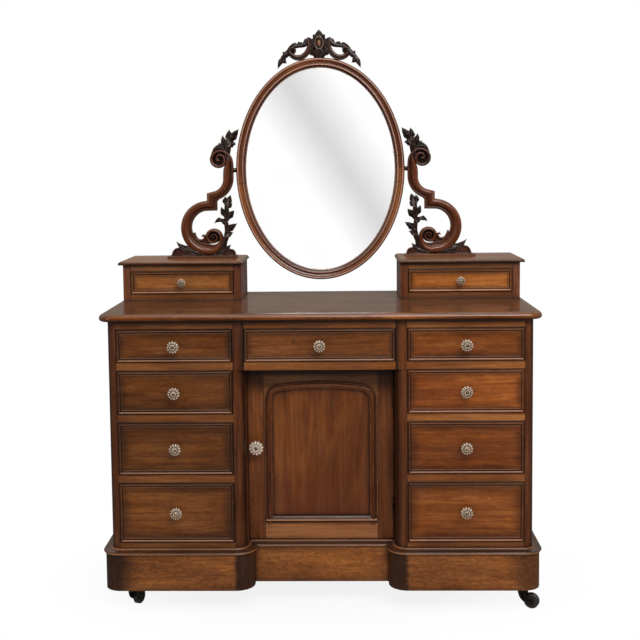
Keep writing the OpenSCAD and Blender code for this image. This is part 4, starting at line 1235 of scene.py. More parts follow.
# The right-hand tones are lighter: painted light from the key lamp's side
DRAWER_TONES = {
    Side.LEFT: Tones((74, 37, 11), (96, 52, 18), (118, 69, 28)),
    Side.RIGHT: Tones((88, 42, 11), (110, 57, 18), (134, 76, 31)),
}
# Here too the right-hand tones are lighter: painted light from the key lamp's side
BOX_DRAWER_TONES = {
    Side.LEFT: Tones((106, 62, 27), (132, 80, 38), (154, 98, 52)),
    Side.RIGHT: Tones((124, 68, 23), (148, 86, 34), (168, 103, 47)),
}
CENTRE_TONES = Tones((90, 48, 16), (111, 63, 26), (132, 82, 41))
TOP_WOOD = TopWood(
    "polished_top", Tones((66, 38, 21), (83, 50, 30), (100, 63, 40)), roughness=0.12, shine=0.4, wax=0.6
)
RAIL_WOOD = Wood(
    "rail_mahogany", Tones((94, 50, 19), (116, 66, 27), (139, 86, 41)), reach=0.02, shine=0.28, side_light=0.22,
    shaded=((0.816, 0.013, 1.0),),
)
STILE_WOOD = StileWood(
    "stile_mahogany", Tones((52, 24, 7), (76, 37, 14), (98, 53, 23)), Grain.ALONG_Z, reach=0.02, shine=0.28
)
SIDE_WOOD = Wood("side_mahogany", Tones((84, 42, 13), (103, 56, 21), (124, 74, 35)), Grain.ALONG_Z, scale=0.7)
DOOR_WOOD = FramedWood(
    "door_frame_mahogany", Tones((74, 36, 11), (98, 51, 19), (122, 68, 29)), Grain.ALONG_Z, shine=0.28,
    rail_tones=Tones((112, 65, 32), (137, 84, 46), (161, 106, 63)), dusk_z=0.667,
)
PANEL_WOOD = PanelWood(
    "door_panel_mahogany", Tones((74, 36, 12), (92, 46, 16), (110, 59, 23)), Grain.ALONG_Z, reach=0.03,
    wax=0.85, shine=0.25, mottle=0.1,
)
DOOR_MOULD_WOOD = FramedWood(
    "door_moulding_mahogany", Tones((46, 20, 8), (72, 34, 14), (98, 51, 23)), Grain.ALONG_Z, wear=0.8,
    wax=0.9, shine=0.3, coat=0.06, joint_x=0.142, joint=0.0, lit=((0.2352, 0.0022, 0.8),),
    rail_tones=Tones((70, 34, 14), (94, 50, 23), (122, 72, 38)),
    shaded=((0.2322, 0.0014, 0.8), (0.241, 0.0035, 0.8)),
)
PLINTH_WOOD = PlinthWood(
    "plinth_mahogany", Tones((104, 58, 21), (123, 71, 27), (144, 87, 36)), mottle=0.7, roughness=0.36,
    scale=1.3, shine=0.28, side_light=0.14,
)
MOULD_WOOD = Wood(
    "plinth_moulding_mahogany", Tones((56, 26, 7), (80, 42, 15), (106, 61, 28)), wear=0.8, wax=0.9, coat=0.1,
    roughness=0.28, lit=((0.1668, 0.0018, 0.6), (0.1765, 0.0015, 0.3)),
    shaded=((0.1632, 0.0026, 0.92), (0.1718, 0.005, 0.65)),
)
PINE = Wood(
    "old_pine", PINE_TONES, Grain.ALONG_Y, scale=0.8, shine=0.2, roughness=0.62, wear=0.2, near=False
)
UPRIGHT_PINE = replace(PINE, name="old_pine_upright", grain=Grain.ALONG_Z)

# Finishes of the jewel boxes, the standards and the mirror

BOX_WOOD = FramedWood(
    "box_mahogany", Tones((78, 38, 20), (102, 55, 31), (126, 76, 46)), Grain.ALONG_Z, reach=0.016,
    middle=0.4175, joint_x=0.155, front_y=0.052, rail_tones=Tones((96, 53, 24), (116, 69, 35), (136, 88, 50)),
)
LID_WOOD = TopWood(
    "lid_mahogany", Tones((104, 64, 36), (126, 82, 50), (148, 102, 66)), roughness=0.13, shine=0.4, wear=0.5,
    edge_tones=Tones((54, 25, 8), (74, 39, 15), (98, 58, 26)), reach_x=-1.0, face_z=0.9552,
    dark_z=(0.9465, 0.9488), side_light=-0.16,
)
PLATE_WOOD = Wood("base_plate_mahogany", Tones((84, 46, 26), (110, 66, 42), (134, 86, 58)), wax=0.4)
SCROLL_WOOD = CarvedWood(
    "scroll_mahogany", Tones((58, 25, 9), (92, 44, 18), (126, 70, 32)), roughness=0.24, shine=0.35, wax=0.85,
    wear=0.2, uv_size=(0.9, 0.12), coat=0.2, coat_roughness=0.1, shaded=((1.3, 0.08, 0.9),),
)
LEAF_WOOD = CarvedWood(
    "carved_leaf_wood", Tones((22, 11, 8), (34, 18, 12), (50, 29, 20)), Grain.ALONG_Z, roughness=0.24,
    shine=0.3, wax=0.92, reach=0.008, wear=0.42, coat=0.12, coat_roughness=0.08,
)
CREST_LEAF_WOOD = replace(LEAF_WOOD, name="crest_leaf_wood", wear=0.05)
VOLUTE_WOOD = CarvedWood(
    "volute_mahogany", Tones((46, 21, 13), (68, 33, 21), (94, 49, 32)), shine=0.35, wax=0.95, reach=0.006,
    wear=0.5, coat=0.15,
)
FRAME_WOOD = FrameWood(
    "mirror_frame_mahogany", Tones((62, 27, 10), (90, 43, 16), (128, 74, 30)), roughness=0.22, shine=0.35,
    wax=0.4, reach=0.005, wear=0.0, uv_size=(1.9, 0.03), coat=0.35, relief=0.01, mottle=0.3,
)
CREST_WOOD = CarvedWood(
    "crest_mahogany", Tones((46, 22, 13), (64, 33, 20), (86, 49, 31)), Grain.ALONG_Z, roughness=0.26,
    shine=0.4, wax=0.95, reach=0.008, wear=0.2, coat=0.15, coat_roughness=0.08,
)
# The rim and the cabochon are lighter copies of the crest's mahogany: painted highlight on the raised parts
RIM_WOOD = CarvedWood(
    "crest_rim_mahogany", Tones((92, 70, 56), (114, 90, 76), (136, 112, 98)), wear=0.2, wax=0.5, reach=0.004,
    relief=0.12,
)
CABOCHON_WOOD = CarvedWood(
    "cabochon_mahogany", Tones((104, 66, 44), (130, 86, 62), (156, 112, 86)), relief=0.12
)

# Metals and glass

BRASS = OldMetal("aged_brass", (176, 138, 72), (82, 58, 30))
IRON = OldMetal("blackened_iron", (52, 49, 45), (22, 20, 18), metallic=0.7, roughness=0.5)
WHEEL = OldMetal("caster_wheel", (50, 44, 38), (24, 21, 19), metallic=0.0, roughness=0.45, spots=60.0)
HINGE_BRASS = OldMetal("hinge_brass", (104, 78, 44), (40, 28, 17))
SCREW_METAL = OldMetal("screw_metal", (206, 186, 158), (92, 74, 56))
PIVOT_IRON = OldMetal("pivot_iron", (92, 78, 64), (36, 28, 22))
KNOB_GLASS = PressedGlass()
# The door's knob gets a lighter copy of the same glass: painted light for its brighter look
BRIGHT_GLASS = PressedGlass("pressed_glass_bright", (246, 232, 218), (178, 158, 138))
SILVER = MirrorSilver()


@dataclass
class SubAssembly:
    """Pieces that are made and dressed together."""

    shop: Workshop

    def finishes(self) -> dict[str, Finish]:
        """The finish of each of its nodes that keeps its shape."""
        return {}

    def knobs(self) -> dict[str, str]:
        """The body of each of its knobs, which are made together later."""
        return {}

    def build(self) -> None:
        """Dress the nodes that keep their shape."""
        for node, finish in self.finishes().items():
            self.shop.dress(node, finish)


@dataclass
class Carcass(SubAssembly):
    """The top, the two pedestals, the plinth and the boards inside them."""

    def finishes(self) -> dict[str, Finish]:
        """The finish of each board.

        Returns:
            The finishes, by node.
        """
        return {
            "main_top": TOP_WOOD, "side_panels": SIDE_WOOD, "rounded_stiles": STILE_WOOD,
            "drawer_rails": RAIL_WOOD, "drawer_runners": PINE, "back_panels": UPRIGHT_PINE,
            "bottom_boards": PINE, "cupboard_boards": RAIL_WOOD, "cupboard_shelf": PINE,
            "plinth_boards": PLINTH_WOOD, "plinth_moulding": MOULD_WOOD,
        }


@dataclass
class Drawers(SubAssembly):
    """The pedestal drawers, the centre drawer and the box drawers."""

    rows: int = 4
    front_back: float = -0.2275
    box_front_back: float = 0.0685

    def fronts(self) -> dict[str, Tones]:
        """The colours of each drawer's front, in the order of their making.

        Returns:
            The colours, by node.
        """
        fronts = {}
        for side in Side:
            for row in range(1, self.rows + 1):
                fronts[f"drawer_{side.word}_{row}"] = DRAWER_TONES[side]
            fronts[f"box_drawer_{side.word}"] = BOX_DRAWER_TONES[side]
        return {**fronts, "drawer_centre": CENTRE_TONES}

    def knobs(self) -> dict[str, str]:
        """The body of each drawer's knob."""
        return {node.replace("drawer", "knob"): node for node in self.fronts()}

    def finishes(self) -> dict[str, Finish]:
        """The finish of each drawer."""
        return {node: self.wood(node, tones) for node, tones in self.fronts().items()}

    def wood(self, node: str, tones: Tones) -> DrawerWood:
        """Mix the finish of one drawer, whose pine starts behind its front.

        Args:
            node: The drawer's node.
            tones: The front's colours.

        Returns:
            The finish.
        """
        low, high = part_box(node)
        return DrawerWood(
            f"{node}_wood", tones.at_level(DRAWER_LEVELS[node]), shine=0.24, wear=0.3, mottle=0.35,
            front_back=self.front_back if node.startswith("drawer") else self.box_front_back,
            half_width=(high.x - low.x) / 2, half_height=(high.z - low.z) / 2,
            middle=(low.x + high.x) / 2, level=(low.z + high.z) / 2,
        )


@dataclass
class Door(SubAssembly):
    """The cupboard door with its hinges."""

    def finishes(self) -> dict[str, Finish]:
        """The finish of the door's boards and hinges.

        Returns:
            The finishes, by node.
        """
        return {
            "door_frame": DOOR_WOOD, "door_panel": PANEL_WOOD, "door_moulding": DOOR_MOULD_WOOD,
            "door_hinge_leaves": HINGE_BRASS, "door_hinges": HINGE_BRASS,
        }

    def knobs(self) -> dict[str, str]:
        """The body of the door's knob."""
        return {"door_knob": "door"}


@dataclass
class GlassKnob:
    """The pattern of a pressed glass knob with petals, a beaded boss and a screw through its middle."""

    radius: float = 17.0
    length: float = 33.0
    petals: int = 12
    petal_steps: int = 8
    petal_curve: float = 0.6
    full_notch: float = 0.19
    ripple: float = 0.03
    screw_share: float = 0.24
    slot_width: float = 0.0011
    outline: Points = (
        (0.0, 0.0, 0.0), (0.40, 0.0, 0.0), (0.56, 0.0, 0.0), (0.57, 0.05, 0.0), (0.46, 0.10, 0.0),
        (0.42, 0.2, 0.0), (0.42, 0.42, 0.0), (0.5, 0.5, 0.0), (0.72, 0.535, 0.05), (0.9, 0.575, 0.12),
        (0.985, 0.63, 0.17), (1.0, 0.69, 0.19), (0.975, 0.76, 0.18), (0.9, 0.82, 0.15), (0.78, 0.868, 0.12),
        (0.64, 0.9, 0.08), (0.53, 0.912, 0.04), (0.47, 0.90, 0.0), (0.44, 0.905, 0.0), (0.41, 0.935, 0.0),
        (0.36, 0.95, 0.0), (0.31, 0.94, 0.0), (0.28, 0.92, 0.0), (0.26, 0.915, 0.0), (0.0, 0.915, 0.0),
    )

    def glass(self) -> bpy.types.Object:
        """Model the pressed glass at the origin, pointing along minus Y.

        Returns:
            The glass. Its outline holds shares of the radius and the length, and the petals' notches.
        """
        steps = self.petals * self.petal_steps
        rings: list[Ring] = []
        for share, out, notch in self.outline:
            ring = []
            for i in range(steps):
                turn = math.tau * i / steps
                lobe = abs(math.cos(turn * self.petals / 2)) ** self.petal_curve
                radius = self.radius * share * (1 - notch * (1 - lobe))
                lift = self.length * (out + self.ripple * notch / self.full_notch * (lobe - 0.5))
                ring.append(Vector((radius * math.cos(turn), -lift, radius * math.sin(turn))) * MM)
            rings.append(ring)
        return bent_strip("knob_pattern", rings, smooth=55)

    def screw(self) -> bpy.types.Object:
        """Model the screw's domed head with its slot.

        Returns:
            The head.
        """
        base, tip = -0.9 * self.length * MM, -0.998 * self.length * MM
        r = self.radius * self.screw_share * MM
        outline = [(0.0, base), (r, base), (r, base - 0.0006), (r * 0.86, (base + tip) / 2)]
        head = lathe("screw_pattern", [*outline, (r * 0.5, tip * 0.994), (0.0, tip)], 24)
        pick()
        slot_size = (r * 2.4, self.slot_width, r * 0.22)
        bpy.ops.mesh.primitive_cube_add(size=1, location=(0, tip, 0), scale=slot_size)
        cutter = bpy.context.object
        cut = head.modifiers.new("slot", "BOOLEAN")
        cut.object = cutter
        cut.operation = "DIFFERENCE"
        pick(head)
        bpy.ops.object.modifier_apply(modifier=cut.name)
        remove(cutter)
        return head


@dataclass
class KnobSet(SubAssembly):
    """All the knobs, modelled once and copied to their places."""

    places: dict[str, str]
    pattern: GlassKnob = field(default_factory=GlassKnob)
    turn: float = 0.37

    def build(self) -> None:
        """Put a glass knob and its screw in the place of each knob node."""
        glass, screw = self.pattern.glass(), self.pattern.screw()
        for count, (node, body) in enumerate(self.places.items()):
            low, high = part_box(node)
            size = (high.x - low.x) / 2 / (self.pattern.radius * MM)
            deep = (high.y - low.y) / (self.pattern.length * MM)
            place = Matrix.Translation(((low.x + high.x) / 2, high.y, (low.z + high.z) / 2))
            place @= Matrix.Rotation(self.turn * count, 4, "Y") @ Matrix.Diagonal((size, deep, size, 1))
            knob = copy_to(glass, node.replace("knob", "glass_knob"), place)
            # A lighter copy of the glass on the door's knob, painted light
            finish = BRIGHT_GLASS if body == "door" else KNOB_GLASS
            self.shop.finish_piece(knob, finish, body, [node], "knob_glass")
            head = copy_to(screw, node.replace("knob", "knob_screw"), place)
            self.shop.finish_piece(head, SCREW_METAL, body, [], "brass")
        remove(glass)
        remove(screw)


@dataclass
class Casters(SubAssembly):
    """The four casters under the plinth."""

    places: ClassVar[tuple[str, ...]] = ("front_left", "front_right", "back_left", "back_right")

    def finishes(self) -> dict[str, Finish]:
        """The finish of the plates, horns and wheels.

        Returns:
            The finishes, by node.
        """
        finishes: dict[str, Finish] = {"caster_plates": BRASS}
        for place in self.places:
            finishes[f"caster_horn_{place}"] = IRON
            finishes[f"caster_wheel_{place}"] = WHEEL
        return finishes


@dataclass
class JewelBoxes(SubAssembly):
    """The two boxes on the top, with their lids and the plates of the standards."""

    def finishes(self) -> dict[str, Finish]:
        """The finish of the boxes, lids and plates.

        Returns:
            The finishes, by node.
        """
        return {
            "left_box_case": BOX_WOOD, "right_box_case": BOX_WOOD, "box_lids": LID_WOOD,
            "base_plates": PLATE_WOOD,
        }


@dataclass(frozen=True)
class Station:
    """One cross line of a carved band."""

    middle: Vector
    across: Vector
    half: float
    round_share: float = 0.0
    rise: float = 1.0


def upright(flat: Sequence[float], y: float) -> Vector:
    """The point in metres of an X and Z in millimetres at a depth."""
    return Vector((flat[0], y, flat[1])) * MM


def plate(name: str, outline: Points, depths: Sequence[float]) -> bpy.types.Object:
    """Cut a flat board from its outline of X and Z, from one depth to another."""
    return bent_strip(name, [[upright(spot, y) for spot in outline] for y in depths], smooth=30)


def polar(centre: Sequence[float], radius: float, angle: float) -> Vector:
    """A point at a radius and an angle in degrees from a centre, in X and Z."""
    turn = math.radians(angle)
    return Vector((centre[0] + radius * math.cos(turn), centre[1] + radius * math.sin(turn)))


def cross_line(one: Sequence[float], other: Sequence[float], rise: float = 1.0) -> Station:
    """The station between two ends of X and Z."""
    line = Vector(other) - Vector(one)
    return Station((Vector(one) + Vector(other)) / 2, line.normalized(), line.length / 2, 0.0, rise)


def smooth_path(points: Points, steps: int) -> list[list[float]]:
    """Run a smooth curve through rows of numbers.

    Args:
        points: The rows.
        steps: Steps from one row to the next.

    Returns:
        The rows along the curve.
    """
    out = []
    for i in range(len(points) - 1):
        rows = [points[max(i - 1, 0)], points[i], points[i + 1], points[min(i + 2, len(points) - 1)]]
        for k in range(steps):
            t = k / steps
            row = []
            for a, b, c, d in zip(*rows):
                bow = (2 * a - 5 * b + 4 * c - d) * t * t / 2
                row.append(b + (c - a) * t / 2 + bow + (3 * b - a - 3 * c + d) * t**3 / 2)
            out.append(row)
    return [*out, list(points[-1])]


def across_path(path: Points, i: int) -> Vector:
    """The direction square to a path of X and Z at one of its rows."""
    ahead = Vector(path[min(i + 1, len(path) - 1)][:2]) - Vector(path[max(i - 1, 0)][:2])
    return Vector((ahead.y, -ahead.x)).normalized()


@dataclass
class Carver:
    """Carves bands, leaves, stems and eyes in the upright plane of X and Z, with Y as the depth."""

    depth: float
    rod_steps: int = 14
    leaf_steps: int = 26
    leaf_sides: int = 22
    band: Points = (
        (-1.0, 0.34), (-0.99, 0.56), (-0.95, 0.66), (-0.88, 0.70), (-0.81, 0.67), (-0.76, 0.58),
        (-0.70, 0.46), (-0.6, 0.40), (-0.48, 0.40), (-0.40, 0.46), (-0.34, 0.58), (-0.24, 0.75),
        (-0.08, 0.9), (0.1, 0.98), (0.3, 1.0), (0.5, 0.96), (0.7, 0.82), (0.86, 0.6), (0.96, 0.3), (1.0, 0.0),
    )
    plain: tuple[float, ...] = (
        0.0, 0.3, 0.46, 0.6, 0.7, 0.77, 0.83, 0.89, 0.94, 0.975, 0.99, 1.0, 0.99, 0.96, 0.9, 0.82, 0.66, 0.46,
        0.24, 0.0,
    )
    back: Points = ((1.0, 0.8), (0.94, 1.0), (-0.94, 1.0), (-1.0, 0.8))
    foot_steps: Points = ((0.3, 1.0), (-0.86, 1.0), (-0.99, 0.94), (-0.97, 0.84), (-0.6, 0.74))

    def band_ring(self, at: Station) -> Ring:
        """Find the points of a band's section at a station, flat behind.

        Args:
            at: The station.

        Returns:
            The points.
        """
        rows = []
        for (side, height), simple in zip(self.band, self.plain):
            lift = height + (simple - height) * at.round_share
            rows.append((side, -lift * at.rise))
        rows.extend(self.back)
        return [upright(at.middle + at.across * side * at.half, y * self.depth / 2) for side, y in rows]

    def carved_band(self, stations: Sequence[Station], name: str) -> bpy.types.Object:
        """Carve a moulded band along stations."""
        return bent_strip(name, [self.band_ring(at) for at in stations], smooth=55)

    def rod(self, rows: Points, steps: int = 4, foot: float = 0.5) -> bpy.types.Object:
        """Carve a rounded ridge through rows of X, Z and radius.

        Args:
            rows: The rows.
            steps: Steps from one row to the next.
            foot: Share of the front's depth from which the ridge rounds over.

        Returns:
            The ridge.
        """
        path = smooth_path(rows, steps)
        half = self.depth / 2
        rings = []
        for i, (x, z, radius) in enumerate(path):
            across = across_path(path, i) * radius
            section = []
            for k in range(self.rod_steps + 1):
                turn = math.pi * k / self.rod_steps
                lift = half * foot + math.sin(turn) * min(radius * 1.1, half * (1 - foot))
                section.append((math.cos(turn), -lift))
            section += [(-0.9, self.depth * 0.36), (0.9, self.depth * 0.36)]
            rings.append([upright(Vector((x, z)) + across * side, y) for side, y in section])
        return bent_strip("rod", rings, smooth=60)

    def leaf_half(self, u: float) -> float:
        """The half width of a leaf at a share of its length, with its scallops and pointed tip.

        Args:
            u: The share, from 0 at the root to 1 at the tip.

        Returns:
            The half width as a share of the leaf's radius.
        """
        belly = 0.72 + 0.52 * math.sin(math.pi * u)
        scallop = 1 + 0.11 * math.cos(math.tau * (2.6 * u - 0.1)) * (1 - 0.5 * u)
        point = max(0.04, 1 - max(0.0, (u - 0.45) / 0.55) ** 1.7)
        return belly * scallop * point

    def leaf_front(self, u: float, side: float) -> float:
        """The height of a leaf's face, with a ridge in the middle and a groove on both sides of it.

        Args:
            u: The share of its length, from 0 at the root to 1 at the tip.
            side: The share of its half width, from -1 to 1.

        Returns:
            The height in millimetres.
        """
        front = self.depth / 2 * (0.66 + 0.32 * math.sin(math.pi * (0.15 + 0.7 * u)))
        crown = 1 - 0.82 * abs(side) ** 3
        groove = 0.3 * math.exp(-(((abs(side) - 0.42) / 0.15) ** 2)) * min(1.0, 2.2 * (1 - u))
        ridge = 0.06 * math.exp(-((side / 0.14) ** 2))
        return front * (crown - groove + ridge)

    def leaf(
        self, root: Sequence[float], belly: Sequence[float], tip: Sequence[float], radius: float
    ) -> bpy.types.Object:
        """Carve a plump leaf with a ridge, two grooves and scalloped sides.

        Args:
            root: X and Z of its root.
            belly: X and Z of its widest place.
            tip: X and Z of its tip.
            radius: Half of its greatest width.

        Returns:
            The leaf.
        """
        start, end = Vector(root), Vector(tip)
        bend = Vector(belly) * 2 - (start + end) / 2
        rings = []
        for i in range(self.leaf_steps + 1):
            u = i / self.leaf_steps
            spot = start * (1 - u) ** 2 + bend * 2 * u * (1 - u) + end * u**2
            way = ((bend - start) * (1 - u) + (end - bend) * u).normalized()
            across = Vector((way.y, -way.x)) * radius * self.leaf_half(u)
            sides = [-1 + 2 * k / self.leaf_sides for k in range(self.leaf_sides + 1)]
            section = [(side, -self.leaf_front(u, side)) for side in sides]
            section += [(side, self.depth * 0.34 * (1 - 0.5 * u)) for side in (0.85, -0.85)]
            rings.append([upright(spot + across * side, y) for side, y in section])
        return bent_strip("leaf", rings, smooth=60)

    def bracket(self, outline: Points) -> bpy.types.Object:
        """Carve a flat foot with a raised rim and a sunk field.

        Args:
            outline: X and Z of its corners.

        Returns:
            The foot.
        """
        middle = sum((Vector(spot) for spot in outline), Vector((0, 0))) / len(outline)
        rings = []
        for y, share in self.foot_steps:
            spots = [middle + (Vector(spot) - middle) * share for spot in outline]
            rings.append([upright(spot, y * self.depth / 2) for spot in spots])
        return bent_strip("bracket", rings, smooth=30)

    def eye(self, centre: Sequence[float], ground: float, boss: float) -> bpy.types.Object:
        """Carve the sunk ground and the domed boss in the eye of a volute.

        Args:
            centre: X and Z of the eye.
            ground: Radius of the ground.
            boss: Radius of the boss.

        Returns:
            The eye.
        """
        half = self.depth / 2
        foot = -half * 0.3
        dome = [(boss * math.cos(turn), foot - boss * 1.2 * math.sin(turn)) for turn in (0.0, 0.4, 0.8, 1.2)]
        profile = [
            (0.0, half * 0.8), (ground, half * 0.8), (ground, half * 0.1), (boss * 1.8, half * 0.05),
            (boss * 1.15, -half * 0.05), *dome, (0.0, foot - boss * 1.22),
        ]
        piece = lathe("eye", [(radius * MM, y * MM) for radius, y in profile], 32)
        piece.data.transform(Matrix.Translation(upright(centre, 0)))
        return piece


@dataclass
class ScrollStandard(SubAssembly):
    """The carved standards of two scrolls with leaves; the right one is carved and mirrored to the left."""

    depth: float = 28.0
    plane_y: float = 0.1705
    foot_z: float = 0.9631
    low_centre: Pair = (350.5, 86.0)
    low_eye: Pair = (334.0, 57.0)
    low_radius: float = 68.5
    low_arc: Pair = (84.0, 170.0)
    low_steps: int = 36
    high_centre: Pair = (341.0, 239.0)
    high_eye: Pair = (314.0, 299.0)
    high_radius: float = 55.6
    high_arc: Pair = (-180.0, 68.0)
    high_steps: int = 17
    leaf_depth: float = 0.86
    web_depths: Pair = (9.0, -3.5)
    shoulder: Points = (
        (309, 327, 309.5, 321.5), (300, 325, 304, 320), (290, 321, 299, 317), (281, 314, 293.5, 311),
        (274.5, 304.5, 291, 301), (270.8, 293, 292, 290), (269.2, 280, 295.5, 279), (268.8, 265, 300, 266),
        (269.2, 250, 301.3, 250),
    )
    step: Points = ((321, 168, 353, 193.5), (321, 139.5, 353, 170.5))
    low_turn: Points = (
        (-78, 57.5, 24.5, 0.1), (-90, 54, 23.5, 0.2), (-105, 49.5, 23, 0.35), (-120, 44.5, 22.4, 0.5),
        (-135, 39.5, 21.4, 0.7), (-150, 35, 20.4, 0.85), (-165, 32, 19.4, 1), (-180, 30, 18.5, 1),
        (-225, 27.8, 16.6, 1), (-270, 26.5, 15.6, 1), (-315, 26.2, 15, 1), (-360, 25.6, 14.2, 1),
        (-405, 24, 13.3, 1), (-450, 20.5, 11.8, 1), (-495, 17.6, 10, 1), (-540, 15.6, 8.8, 1),
        (-600, 13.4, 7.4, 1), (-660, 11.2, 6.4, 1), (-720, 9.6, 5.6, 1),
    )
    high_ridge: Points = (
        (271.5, 262, 2.2), (271.8, 273, 2.6), (273, 285, 2.8), (275.5, 297, 3.0), (280.5, 308, 3.2),
        (289.5, 317, 3.4), (301, 322.5, 3.6), (313, 323, 3.8), (325, 318, 4.1), (333.5, 308.5, 4.4),
        (336, 297.5, 4.6), (333, 286, 4.7), (324.5, 278, 4.7), (313, 275, 4.5), (302, 278.5, 4.3),
        (295.8, 287, 4.1), (295.4, 297.5, 3.9), (300, 306.5, 3.7), (308.5, 310.5, 3.5), (316.5, 307.5, 3.4),
        (319.5, 300, 3.4), (316, 294.5, 3.4), (311.5, 296.5, 3.2),
    )
    hook: Points = (
        (394, 72, 2.2), (387, 55, 2.6), (378, 48.4, 2.8), (370, 48.2, 3), (363, 53, 3), (361.8, 60, 2.8),
        (366, 63.5, 2.4), (369.5, 59, 2),
    )
    web: Points = (
        (345, 28), (358, 63), (363, 56), (369, 50.5), (378, 47.5), (386, 50.5), (394, 64), (400, 56),
        (396, 38), (374, 24),
    )
    outer_foot: Points = (
        (466, 0.2), (463, 9), (459.5, 17), (454, 22.5), (446, 25), (437, 24.5), (429, 20.5), (421, 14.5),
        (411, 9), (400, 5.5), (388, 4.2), (388, 0.2),
    )
    inner_foot: Points = (
        (264, 0.2), (266, 9), (269, 15), (275, 19), (283, 20.5), (292, 18.5), (300, 14.5), (309, 10),
        (320, 6.5), (332, 4.5), (332, 0.2),
    )
    stems: tuple[Points, ...] = (
        (
            (308, 12, 6), (302, 26, 8), (299, 42, 8), (293, 60, 8.5), (291, 78, 7.5), (293, 94, 6.5),
            (293, 108, 4.6),
        ),
        ((293, 102, 4.4), (293, 116, 6.5), (291, 130, 8), (292, 148, 6.5), (289, 162, 8), (290, 178, 6)),
        (
            (281, 282, 3), (285, 292, 6), (288, 302, 8), (287, 314, 8.5), (285, 328, 9.5), (283, 345, 9.5),
            (282, 362, 6.5),
        ),
    )
    leaf_rows: Sequence[tuple] = (
        ((297, 56), (285, 66), (272, 70), 7), ((293, 74), (278, 87), (259, 99), 8.5),
        ((292, 88), (301, 106), (317, 113), 6.5), ((306, 106), (317, 110), (331, 99), 6),
        ((294, 110), (279, 127), (269, 140), 8), ((292, 118), (303, 135), (308, 151), 7),
        ((293, 146), (282, 156), (274, 161), 7), ((290, 156), (284, 172), (279, 188), 8),
        ((294, 160), (297, 170), (293, 184), 6), ((283, 346), (281, 370), (279, 389), 8.5),
        ((284, 346), (266, 370), (251, 390), 9.5), ((288, 334), (272, 344), (259, 343), 8),
        ((286, 334), (297, 352), (300, 372), 8), ((290, 322), (314, 333), (337, 314), 8.5),
        ((288, 322), (303, 336), (314, 350), 7), ((368, 6), (420, 20), (450, 44), 9.5),
        ((366, 8), (398, 16), (428, 28), 7.5), ((338, 5), (303, 15), (280, 34), 9.5),
        ((338, 8), (318, 20), (304, 34), 6),
    )

    def upper_stations(self) -> list[Station]:
        """Lay out the cross lines from the upper volute's shoulder down to the step.

        Returns:
            The stations.
        """
        stations = []
        for row in smooth_path(self.shoulder, 4):
            one, other = row[:2], row[2:]
            stations.append(cross_line(one, other, min(1.0, 0.45 + math.dist(one, other) / 42)))
        start, turn = self.high_arc
        for i in range(self.high_steps + 1):
            share = i / self.high_steps
            angle = start + turn * share
            middle = polar(self.high_centre, self.high_radius, angle)
            stations.append(Station(middle, polar((0, 0), -1, angle), 16 - 1.6 * share))
        return stations + [cross_line(row[:2], row[2:]) for row in self.step]

    def lower_stations(self) -> list[Station]:
        """Lay out the cross lines from the step round the lower scroll into its volute.

        Returns:
            The stations.
        """
        stations = []
        start, turn = self.low_arc
        for i in range(self.low_steps + 1):
            share = i / self.low_steps
            angle = start - turn * share
            middle = polar(self.low_centre, self.low_radius - share, angle)
            stations.append(Station(middle, polar((0, 0), 1, angle), 15.5 + 3 * share))
        for angle, outer, inner, share in smooth_path(self.low_turn, 4):
            middle = polar(self.low_eye, (outer + inner) / 2, angle)
            rise = 0.94 + 0.06 * (angle + 540) / 540 if angle > -540 else 0.9
            stations.append(Station(middle, polar((0, 0), 1, angle), (outer - inner) / 2, share, rise))
        return stations

    def carve(self) -> dict[str, bpy.types.Object]:
        """Carve the right standard at the middle of the depth.

        Returns:
            The polished scrolls, the dark leaves, and the upper volute with the flat feet, by name.
        """
        wood, leaf_wood = Carver(self.depth), Carver(self.depth * self.leaf_depth)
        scrolls = [
            wood.carved_band(self.upper_stations() + self.lower_stations(), "scroll_band"),
            wood.eye(self.low_eye, 20, 4.6), wood.rod(self.hook, 5, 0.6),
            plate("web", self.web, self.web_depths),
        ]
        feet = [wood.bracket(outline) for outline in (self.outer_foot, self.inner_foot)]
        volute = [wood.rod(self.high_ridge, 4, 0.62), *feet]
        leaves = [leaf_wood.rod(rows) for rows in self.stems]
        leaves += [leaf_wood.leaf(*row) for row in self.leaf_rows]
        leaves.append(wood.eye(self.high_eye, 23.5, 3.5))
        parts = {"scrolls": scrolls, "leaves": leaves, "volute": volute}
        return {name: join(name, pieces) for name, pieces in parts.items()}

    def build(self) -> None:
        """Place both standards."""
        patterns = self.carve()
        woods = {"scrolls": SCROLL_WOOD, "leaves": LEAF_WOOD, "volute": VOLUTE_WOOD}
        foot = Matrix.Translation((0, self.plane_y, self.foot_z))
        for side in Side:
            place = foot @ Matrix.Diagonal((side.value, 1, 1, 1))
            node = f"{side.word}_standard"
            for name, pattern in patterns.items():
                piece = copy_to(pattern, f"{node}_{name}", place)
                self.shop.finish_piece(piece, woods[name], "carcass", [node], "carved_mahogany")
        for pattern in patterns.values():
            remove(pattern)


